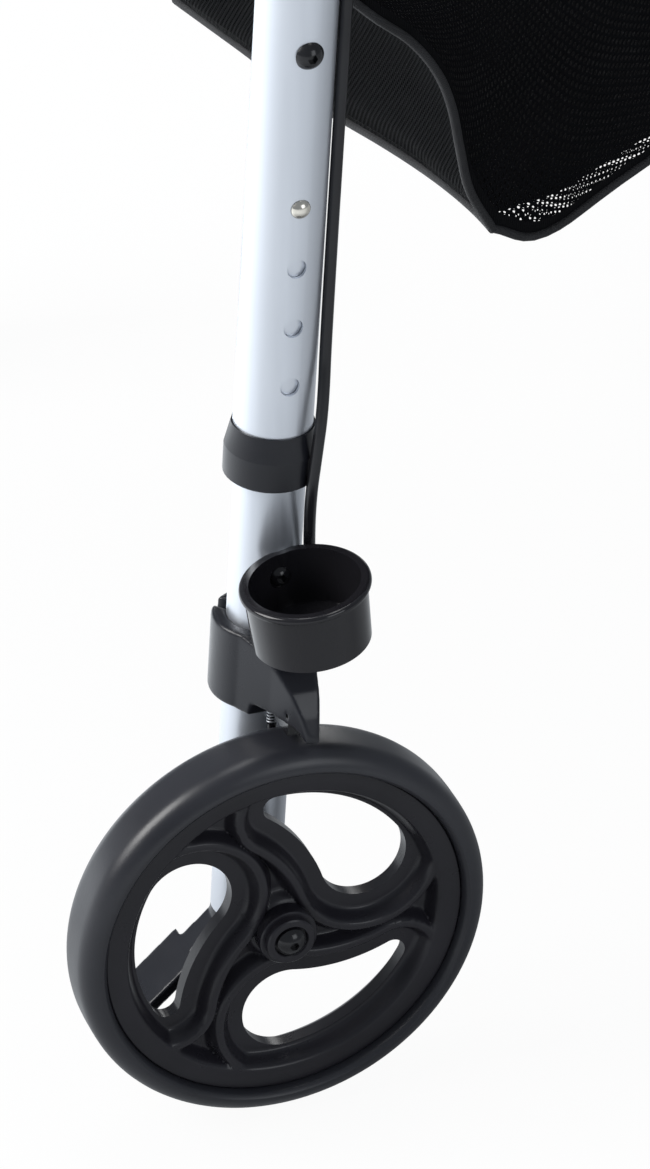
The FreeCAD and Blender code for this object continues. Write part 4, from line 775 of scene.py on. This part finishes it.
# Radius and distance from the middle: half of the tread, and the lip beside the rim down to the tyre's seat
TYRE_TREAD = ((WHEEL_R / MM, 0.0), (WHEEL_R / MM, 3.2), (87.42, 5.4))
TYRE_LIP = ((79.0, 14.75), (77.8, 13.9), (77.2, 12.6), (76.9, 11.3), (76.8, 10.4), (76.8, 7.9), (72.2, 7.9))
TYRE_SHOULDER_AT = (5.6, 78.0)
TYRE_SHOULDER_R = 9.4
TYRE_SHOULDER_ANGLES = (84, 12)
TYRE_STEPS = 192


def tyre_profile():
    """Cross-section of the tyre: a flat tread, round shoulders, a lip beside the rim and its seat."""
    shoulder = arc_points(TYRE_SHOULDER_AT, TYRE_SHOULDER_R, *TYRE_SHOULDER_ANGLES, 11)
    half = [*TYRE_TREAD, *((r, a) for a, r in shoulder), *TYRE_LIP]
    other = [(r, -a) for r, a in reversed(half[1:])]
    return [(r * MM, a * MM) for r, a in half + other]


def make_wheels():
    rim = rim_mesh()
    tyre = turned_mesh("tyre", tyre_profile(), TYRE_STEPS)
    for place, axle in (("rear", REAR_AXLE), ("front", FRONT_AXLE)):
        for side in SIDES:
            flip = 1 if side == "right" else -1
            centre = Vector((axle.x, axle.y * flip, axle.z))
            turn = Matrix.Rotation(0 if flip > 0 else math.pi, 4, "Z")
            for kind, mesh in (("rim", rim), ("tyre", tyre)):
                name = f"{place}_{kind}_{side}"
                copy = mesh.copy()
                copy.transform(Matrix.Translation(centre) @ turn)
                obj = finish_mesh(name + "_shape", copy, MATERIALS[kind], f"{place}_wheel_{side}")
                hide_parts(name)


# Tubes along a route

def smooth_route(points):
    """Points of the NURBS curve that a cord's given points steer."""
    data = bpy.data.curves.new("route", "CURVE")
    data.dimensions = "3D"
    data.resolution_u = 14
    spline = data.splines.new("NURBS")
    spline.points.add(len(points) - 1)
    for target, point in zip(spline.points, points):
        target.co = (*point, 1)
    spline.order_u = 3
    spline.use_endpoint_u = True
    obj = bpy.data.objects.new("route", data)
    bpy.context.scene.collection.objects.link(obj)
    mesh = bpy.data.meshes.new_from_object(obj)
    found = [v.co.copy() for v in mesh.vertices]
    bpy.data.objects.remove(obj)
    bpy.data.meshes.remove(mesh)
    return found


def tube_mesh(name, path, radius, sides=16, closed=False, flat=1.0, up=Vector((0, 0, 1))):
    """Tube along points, its ring carried without twist, and narrowed by flat across its second axis."""
    path = [Vector(p) for p in path]
    count = len(path)
    tangents = []
    for i in range(count):
        after = path[(i + 1) % count] if closed or i + 1 < count else path[i]
        before = path[i - 1] if closed or i > 0 else path[i]
        tangents.append((after - before).normalized())
    side = tangents[0].cross(up)
    if side.length < 0.1:
        side = tangents[0].cross(Vector((1, 0, 0)))
    side.normalize()
    points = []
    for i, (centre, along) in enumerate(zip(path, tangents)):
        side = (side - along * side.dot(along)).normalized()
        other = along.cross(side)
        size = radius[i] if hasattr(radius, "__len__") else radius
        for k in range(sides):
            angle = 2 * math.pi * k / sides
            points.append(centre + side * (size * math.cos(angle)) + other * (size * flat * math.sin(angle)))
    faces = grid_faces(count, sides, closed, True)
    if not closed:
        faces.append(tuple(range(sides)))
        faces.append(tuple(reversed(range((count - 1) * sides, count * sides))))
    mesh = bpy.data.meshes.new(name)
    mesh.from_pydata(points, [], faces)
    return mesh


# Brake cables: the CAD source's route, in millimetres of the leg frame

CABLE_R = 2.4
CABLE_ROUTE = (
    (-46.0, -6.0, 751.0), (-36.0, -6.0, 751.0), (-14.0, -19.5, 748.0), (9.0, -21.6, 732.0),
    (16.6, -20.0, 704.0), (16.6, -19.0, 674.0), (16.6, -19.0, 630.0), (17.3, -10.0, 582.0), (17.4, -6.6, 532.0),
    (17.3, -6.7, 258.0), (14.6, -15.2, 226.0), (11.7, -18.5, 207.0), (10.0, -19.0, 188.0),
    (14.2, -10.3, 161.0), (16.6, -8.6, 143.0), (16.6, -8.6, 126.0),
)
UPPER_CUT, LOWER_CUT = 560.0, 300.0
# Heights in metres for the ends of the upper and lower stretches; the points made from them are not used
UPPER_GIVE = (0.735, 0.600)
LOWER_GIVE = (0.285, 0.140)


def make_cables():
    """Each cable in three stretches: an upper one by the handle and a lower one by the leg, both left fixed,
    and one on the column.
    """
    route = [leg(*(v * MM for v in p)) for p in CABLE_ROUTE]
    path = smooth_route(route)
    heights = [(p.z - leg(0, 0, 0).z) / math.cos(LEAN) / MM for p in path]
    first = next(i for i, h in enumerate(heights) if h < UPPER_CUT)
    last = next(i for i, h in enumerate(heights) if h < LOWER_CUT)
    for side in SIDES:
        turn = mirrored if side == "left" else Vector
        frame_body, handle, rear = f"{side}_frame", f"handle_{side}", f"rear_leg_{side}"
        spans = (("upper", 0, first), ("middle", first, last), ("lower", last, len(path) - 1))
        for label, low, high in spans:
            name = f"brake_cable_{label}_{side}"
            mesh = tube_mesh(name, [turn(p) for p in path[low:high + 1]], CABLE_R * MM)
            obj = finish_mesh(name, mesh, MATERIALS["cable"], sharp=SHARP_ROUND)
            if label == "upper":
                start, end = (turn(leg(0, 0, s)) for s in UPPER_GIVE)
                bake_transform(obj)
                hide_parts("brake_cable_" + side)
            elif label == "middle":
                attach(obj, frame_body)
            else:
                start, end = (turn(leg(0, 0, s)) for s in LOWER_GIVE)
                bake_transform(obj)


# Bag: outlines in millimetres, forward of the rear axle and above its height

BAG_AT_SIDE = (
    (24, 400), (44, 386), (68, 362.5), (84, 348.5), (95.5, 332.5), (101.8, 316), (105.5, 297), (110, 277),
    (120, 258), (143, 251.5), (188, 276), (330, 350), (415, 400),
)
BAG_AT_MIDDLE = (
    (6, 392), (20, 374), (34, 350), (43, 334), (50, 318), (55, 301), (59, 285), (64, 268), (73, 253),
    (100, 232), (180, 240), (330, 305), (420, 392),
)
# The outlines' point at the seam between the rear and bottom panels
BAG_CORNER = 8
BAG_HALF_WIDTH = -REAR_AXLE.y / MM - 72.0
BAG_STEPS = 6
BAG_EDGE_COLUMNS = 5
BAG_COLUMNS = 85
BAG_SIDE_ROWS = 19
HEM_ROWS = 2
BAG_HEM = 7.0
BAG_BULGE = 7.0
SIDE_PUFF = 0.4
BAG_SLACK = (0.35, 0.8)
# Width of the see-through strip beside each side seam, by distance forward of the axle
MESH_MARGIN = ((118, 20), (143, 26), (157, 18.5), (172, 15.5), (192, 13.8), (415, 6))
# Where wrinkles rise: distance from a side seam, rows from a bound edge, and a side panel's height
WRINKLE_FROM_SEAM = 40
WRINKLE_ROWS = 3
WRINKLE_HEIGHT = 90
WRINKLE_SLOPE = 0.7
PIPING_R = 1.9


def catmull(points, steps):
    """Smooth open curve through points."""
    ends = [2 * points[0] - points[1]] + list(points) + [2 * points[-1] - points[-2]]
    found = []
    for a, b, c, d in zip(ends, ends[1:], ends[2:], ends[3:]):
        for k in range(steps):
            t = k / steps
            found.append(0.5 * (2 * b + (c - a) * t + (2 * a - 5 * b + 4 * c - d) * t ** 2
                                + (3 * b - a - 3 * c + d) * t ** 3))
    return found + [points[-1]]


def bag_profile(points):
    """A smooth outline from the bag's rear edge down to the seam and up to its front edge, as X and Z."""
    points = [np.array(p, float) for p in points]
    rear = catmull(points[:BAG_CORNER + 1], BAG_STEPS)
    under = catmull(points[BAG_CORNER:], BAG_STEPS)
    return rear[:-1] + under


SIDE_LINE = bag_profile(BAG_AT_SIDE)
MIDDLE_LINE = bag_profile(BAG_AT_MIDDLE)


def bag_line(i, y):
    """X and Z of an outline's point at a distance from the middle: the cloth hangs flat near its sides."""
    u = 1 - abs(y) / BAG_HALF_WIDTH
    slack = smooth_step(u, *BAG_SLACK)
    share = u * u * (3 - 2 * u) * (1 - slack) + u * slack
    return SIDE_LINE[i] * (1 - share) + MIDDLE_LINE[i] * share


def bag_places(margin):
    """Distances from the middle of a row's points, with a band of a given width at each side."""
    outer = [BAG_HALF_WIDTH - margin * k / BAG_EDGE_COLUMNS for k in range(BAG_EDGE_COLUMNS)]
    inner = BAG_HALF_WIDTH - margin
    middle = np.linspace(-inner, inner, BAG_COLUMNS - 2 * BAG_EDGE_COLUMNS)
    return [-y for y in outer] + [float(y) for y in middle] + outer[::-1]


def bag_point(x, y, z):
    return Vector((REAR_AXLE.x + x * MM, y * MM, WHEEL_R + z * MM))


def wrinkle(x, y, z):
    """Soft uneven bulges of hanging cloth, in millimetres."""
    a = math.sin(0.043 * x + 0.021 * y + 1.3) * math.sin(0.037 * z - 0.017 * y)
    b = math.sin(0.090 * y + 0.031 * z) * math.sin(0.061 * x + 0.4)
    return 1.6 * a + 0.9 * b


def uv_grid(mesh, rows, columns, points):
    """UVs in metres, measured along the rows and columns of a grid of points."""
    grid = np.array([tuple(p) for p in points]).reshape(rows, columns, 3)
    u = np.zeros((rows, columns))
    v = np.zeros((rows, columns))
    middle = rows // 2
    u[:, 1:] = np.cumsum(np.linalg.norm(np.diff(grid[middle], axis=0), axis=1))[None, :]
    v[1:, :] = np.cumsum(np.linalg.norm(np.diff(grid, axis=0), axis=2).mean(axis=1))[:, None]
    layer = mesh.uv_layers.new(name="cloth")
    for loop in mesh.loops:
        layer.data[loop.index].uv = (u.flat[loop.vertex_index], v.flat[loop.vertex_index])


def cloth_grid(name, points, rows, columns, materials, choose=None):
    mesh = bpy.data.meshes.new(name)
    mesh.from_pydata(points, [], grid_faces(rows, columns))
    uv_grid(mesh, rows, columns, points)
    for material in materials:
        mesh.materials.append(material)
    for face in mesh.polygons:
        face.use_smooth = True
        if choose:
            face.material_index = choose(face.index // (columns - 1), face.index % (columns - 1))
    obj = bpy.data.objects.new(name, mesh)
    bpy.context.scene.collection.objects.link(obj)
    return obj


def fold_with_frame(obj):
    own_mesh(obj)


def bag_piece(obj):
    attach(obj, "right_frame")
    fold_with_frame(obj)
    return obj


def make_bag():
    """Pouch of knitted mesh with a firm bottom, bound seams, and the straps it hangs by."""
    knit, cloth = MATERIALS["mesh"], MATERIALS["cloth"]
    seam = BAG_CORNER * BAG_STEPS
    rows = len(SIDE_LINE)
    margins = np.interp([x for x, _ in SIDE_LINE], *zip(*MESH_MARGIN))

    def panel(name, start, end, materials, choose, lift):
        points = []
        for i in range(start, end):
            for y in bag_places(margins[i]):
                x, z = bag_line(i, y)
                edge = min(1, (BAG_HALF_WIDTH - abs(y)) / WRINKLE_FROM_SEAM)
                edge *= min(1, (i - start) / WRINKLE_ROWS, (end - 1 - i) / WRINKLE_ROWS)
                give = wrinkle(x, y, z) * edge * lift
                points.append(bag_point(x - give * WRINKLE_SLOPE, y, z - give * WRINKLE_SLOPE))
        return cloth_grid(name, points, end - start, BAG_COLUMNS, materials, choose)

    rear = bag_piece(panel("bag_rear_panel", 0, seam + 1, [knit], None, 1.0))
    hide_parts("bag")

    def under_zone(i, j):
        return 0 if j < BAG_EDGE_COLUMNS or j >= BAG_COLUMNS - 1 - BAG_EDGE_COLUMNS else 1

    bag_piece(panel("bag_bottom_panel", seam, rows, [knit, cloth], under_zone, 0.8))
    top_rear, top_front = SIDE_LINE[0], SIDE_LINE[-1]
    lengths = np.cumsum([0] + [np.linalg.norm(b - a) for a, b in zip(SIDE_LINE, SIDE_LINE[1:])])
    shares = lengths / lengths[-1]
    for side in SIDES:
        sign = -1 if side == "right" else 1
        points = []
        for i in range(BAG_SIDE_ROWS):
            for share, low in zip(shares, SIDE_LINE):
                high = top_rear + (top_front - top_rear) * share
                tall = max(np.linalg.norm(high - low), MM)
                hem = min(BAG_HEM / tall, 0.5)
                if i < HEM_ROWS:
                    t = hem * i / HEM_ROWS
                else:
                    t = hem + (1 - hem) * (i - HEM_ROWS) / (BAG_SIDE_ROWS - 1 - HEM_ROWS)
                x, z = low + (high - low) * t
                bow = math.sin(math.pi * t) * min(1, tall / WRINKLE_HEIGHT)
                puff = BAG_BULGE * math.sin(math.pi * min(max(share, 0.02), 0.98))
                y = sign * (BAG_HALF_WIDTH + (puff * SIDE_PUFF + wrinkle(x, 0, z)) * bow)
                points.append(bag_point(x, y, z))
        bag_piece(cloth_grid(f"bag_side_panel_{side}", points, BAG_SIDE_ROWS, rows, [knit, cloth],
                             lambda i, j: 1 if i < HEM_ROWS else 0))
        edge = [bag_point(x, sign * BAG_HALF_WIDTH, z) for x, z in SIDE_LINE]
        bag_piece(finish_mesh(f"bag_side_piping_{side}", tube_mesh("piping", edge, PIPING_R * MM, 10),
                              MATERIALS["binding"], sharp=SHARP_ROUND))
    bindings = (("bottom", seam, 2.4, 0.8), ("rear_hem", 0, 5.0, 0.3), ("front_hem", rows - 1, 5.0, 0.3))
    for label, index, radius, squeeze in bindings:
        line = []
        for y in bag_places(margins[index]):
            x, z = bag_line(index, y)
            line.append(bag_point(x, y, z))
        mesh = tube_mesh(label, line, radius * MM, 12, flat=squeeze, up=Vector((1, 0, 0)))
        bag_piece(finish_mesh(f"bag_{label}_binding", mesh, MATERIALS["binding"], sharp=SHARP_ROUND))
    make_straps()


# Webbing in metres: width and thickness, and the height of the screws that it hangs by
TAB_SIZE = (0.022, 0.0022)
STRAP_SIZE = (0.016, 0.0016)
SCREW_HEIGHT = 0.3805
STRAP_SCREW = (0.042, 0.436)
TAB_INSET, STRAP_INSET = 0.035, 0.0342
STRAP_SECTION = (
    (0.5, -0.3), (0.5, 0.3), (0.44, 0.5), (-0.44, 0.5),
    (-0.5, 0.3), (-0.5, -0.3), (-0.44, -0.5), (0.44, -0.5),
)


def strap_mesh(name, path, width, thick):
    """Flat webbing along a path, its face sideways, its edges rounded."""
    normal = Vector((0, 1, 0))
    path = [Vector(p) for p in path]
    points = []
    for i, centre in enumerate(path):
        along = (path[min(i + 1, len(path) - 1)] - path[max(i - 1, 0)]).normalized()
        across = along.cross(normal).normalized()
        face = across.cross(along).normalized()
        for a, b in STRAP_SECTION:
            points.append(centre + across * (a * width) + face * (b * thick))
    sides = len(STRAP_SECTION)
    faces = grid_faces(len(path), sides, False, True)
    faces += [tuple(range(sides)), tuple(reversed(range((len(path) - 1) * sides, len(path) * sides)))]
    mesh = bpy.data.meshes.new(name)
    mesh.from_pydata(points, [], faces)
    return mesh


def make_straps():
    """Rear tabs to the column's screws, and front straps to the front legs."""
    screw = leg(0, 0, SCREW_HEIGHT)
    for side in SIDES:
        turn = mirrored if side == "left" else Vector
        x, z = SIDE_LINE[0]
        top = bag_point(x + 6, -BAG_HALF_WIDTH, z - 12)
        pin = Vector((screw.x, TAB_INSET - TUBE_Y, screw.z))
        path = [turn(top.lerp(pin, t)) for t in (0, 0.25, 0.5, 0.75, 1, 1.22)]
        mesh = strap_mesh("tab", path, *TAB_SIZE)
        bag_piece(finish_mesh(f"bag_rear_tab_{side}", mesh, MATERIALS["webbing"]))
        x, z = SIDE_LINE[-1]
        low = bag_point(x - 8, -BAG_HALF_WIDTH, z - 6)
        pin = Vector((FRONT_AXLE.x + STRAP_SCREW[0], STRAP_INSET - TUBE_Y, STRAP_SCREW[1]))
        middle = low.lerp(pin, 0.5) - Vector((0, 0, 0.002))
        tail = pin + (pin - low).normalized() * 0.008
        path = [turn(p) for p in [*smooth_route([low, middle, pin]), tail]]
        mesh = strap_mesh("strap", path, *STRAP_SIZE)
        bag_piece(finish_mesh(f"bag_front_strap_{side}", mesh, MATERIALS["webbing"]))


# Seat pad, in metres: its plan outline and height come from the CAD solid's box

SEAT_GRID = 97
SEAT_CHANNELS = (-0.5, 0.0, 0.5)
CHANNEL_DEPTH = 0.0040
CHANNEL_HALF = 0.014
SEAT_CROWN = 0.0042
SEAT_INSET = 0.002
SEAT_PIPING_AT = 0.42
SEAT_PIPING_R = 0.0019
SEAT_UNDER = 0.0003


def make_seat():
    """Crowned vinyl pad with sewn channels across it and a piped edge."""
    low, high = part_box("seat")
    centre, half = (low + high) / 2, (high - low) / 2
    piping_z = low.z + (high.z - low.z) * SEAT_PIPING_AT

    def plan(u, v):
        """A square's point moved to a rectangle with rounded corners."""
        power = 0.5 * (u * u * v * v) ** 2
        x = centre.x + (half.x - SEAT_INSET) * u * (1 - 0.05 * power)
        return x, (half.y - SEAT_INSET) * v * (1 - 0.04 * power)

    def top(u, v):
        edge = (1 - abs(u) ** 9) ** 0.5 * (1 - abs(v) ** 12) ** 0.5
        crown = (1 - u * u) * (1 - v ** 4)
        sewn = 0
        for line in SEAT_CHANNELS:
            sewn += math.exp(-((u - line) / CHANNEL_HALF) ** 2) * CHANNEL_DEPTH
        return (high.z - piping_z - 0.0045) * edge + SEAT_CROWN * crown * edge - sewn * edge ** 2

    def under(u, v):
        return (piping_z - low.z - SEAT_UNDER) * (1 - abs(u) ** 14) ** 0.5 * (1 - abs(v) ** 16) ** 0.5

    points = []
    for sheet in (1, -1):
        for i in range(SEAT_GRID):
            for j in range(SEAT_GRID):
                u, v = 2 * i / (SEAT_GRID - 1) - 1, 2 * j / (SEAT_GRID - 1) - 1
                x, y = plan(u, v)
                z = piping_z + top(u, v) if sheet > 0 else piping_z - under(u, v)
                points.append((x, y, z))
    faces = grid_faces(SEAT_GRID, SEAT_GRID)
    faces += [tuple(reversed(f)) for f in grid_faces(SEAT_GRID, SEAT_GRID, start=SEAT_GRID ** 2)]
    mesh = bpy.data.meshes.new("seat_pad")
    mesh.from_pydata(points, [], faces)
    work = bmesh.new()
    work.from_mesh(mesh)
    bmesh.ops.remove_doubles(work, verts=work.verts, dist=0.00002)
    work.to_mesh(mesh)
    work.free()
    pad = finish_mesh("seat_pad", mesh, MATERIALS["vinyl"], "rail_right", sharp=SHARP_SOFT)
    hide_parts("seat")
    fold_with_frame(pad)
    rim = []
    steps = 60
    for a, b in (((-1, -1), (1, -1)), ((1, -1), (1, 1)), ((1, 1), (-1, 1)), ((-1, 1), (-1, -1))):
        for k in range(steps):
            t = k / steps
            x, y = plan(a[0] + (b[0] - a[0]) * t, a[1] + (b[1] - a[1]) * t)
            rim.append((x, y, piping_z))
    mesh = tube_mesh("seat_piping", rim, SEAT_PIPING_R, 10, closed=True)
    piping = finish_mesh("seat_piping", mesh, MATERIALS["binding"], "rail_right", sharp=SHARP_SOFT)
    fold_with_frame(piping)


make_camera()
make_lights()
make_stage()
dress_cad_nodes()
make_softened()
make_wheels()
make_cables()
make_bag()
make_seat()

bpy.context.scene.view_settings.view_transform = "Standard"
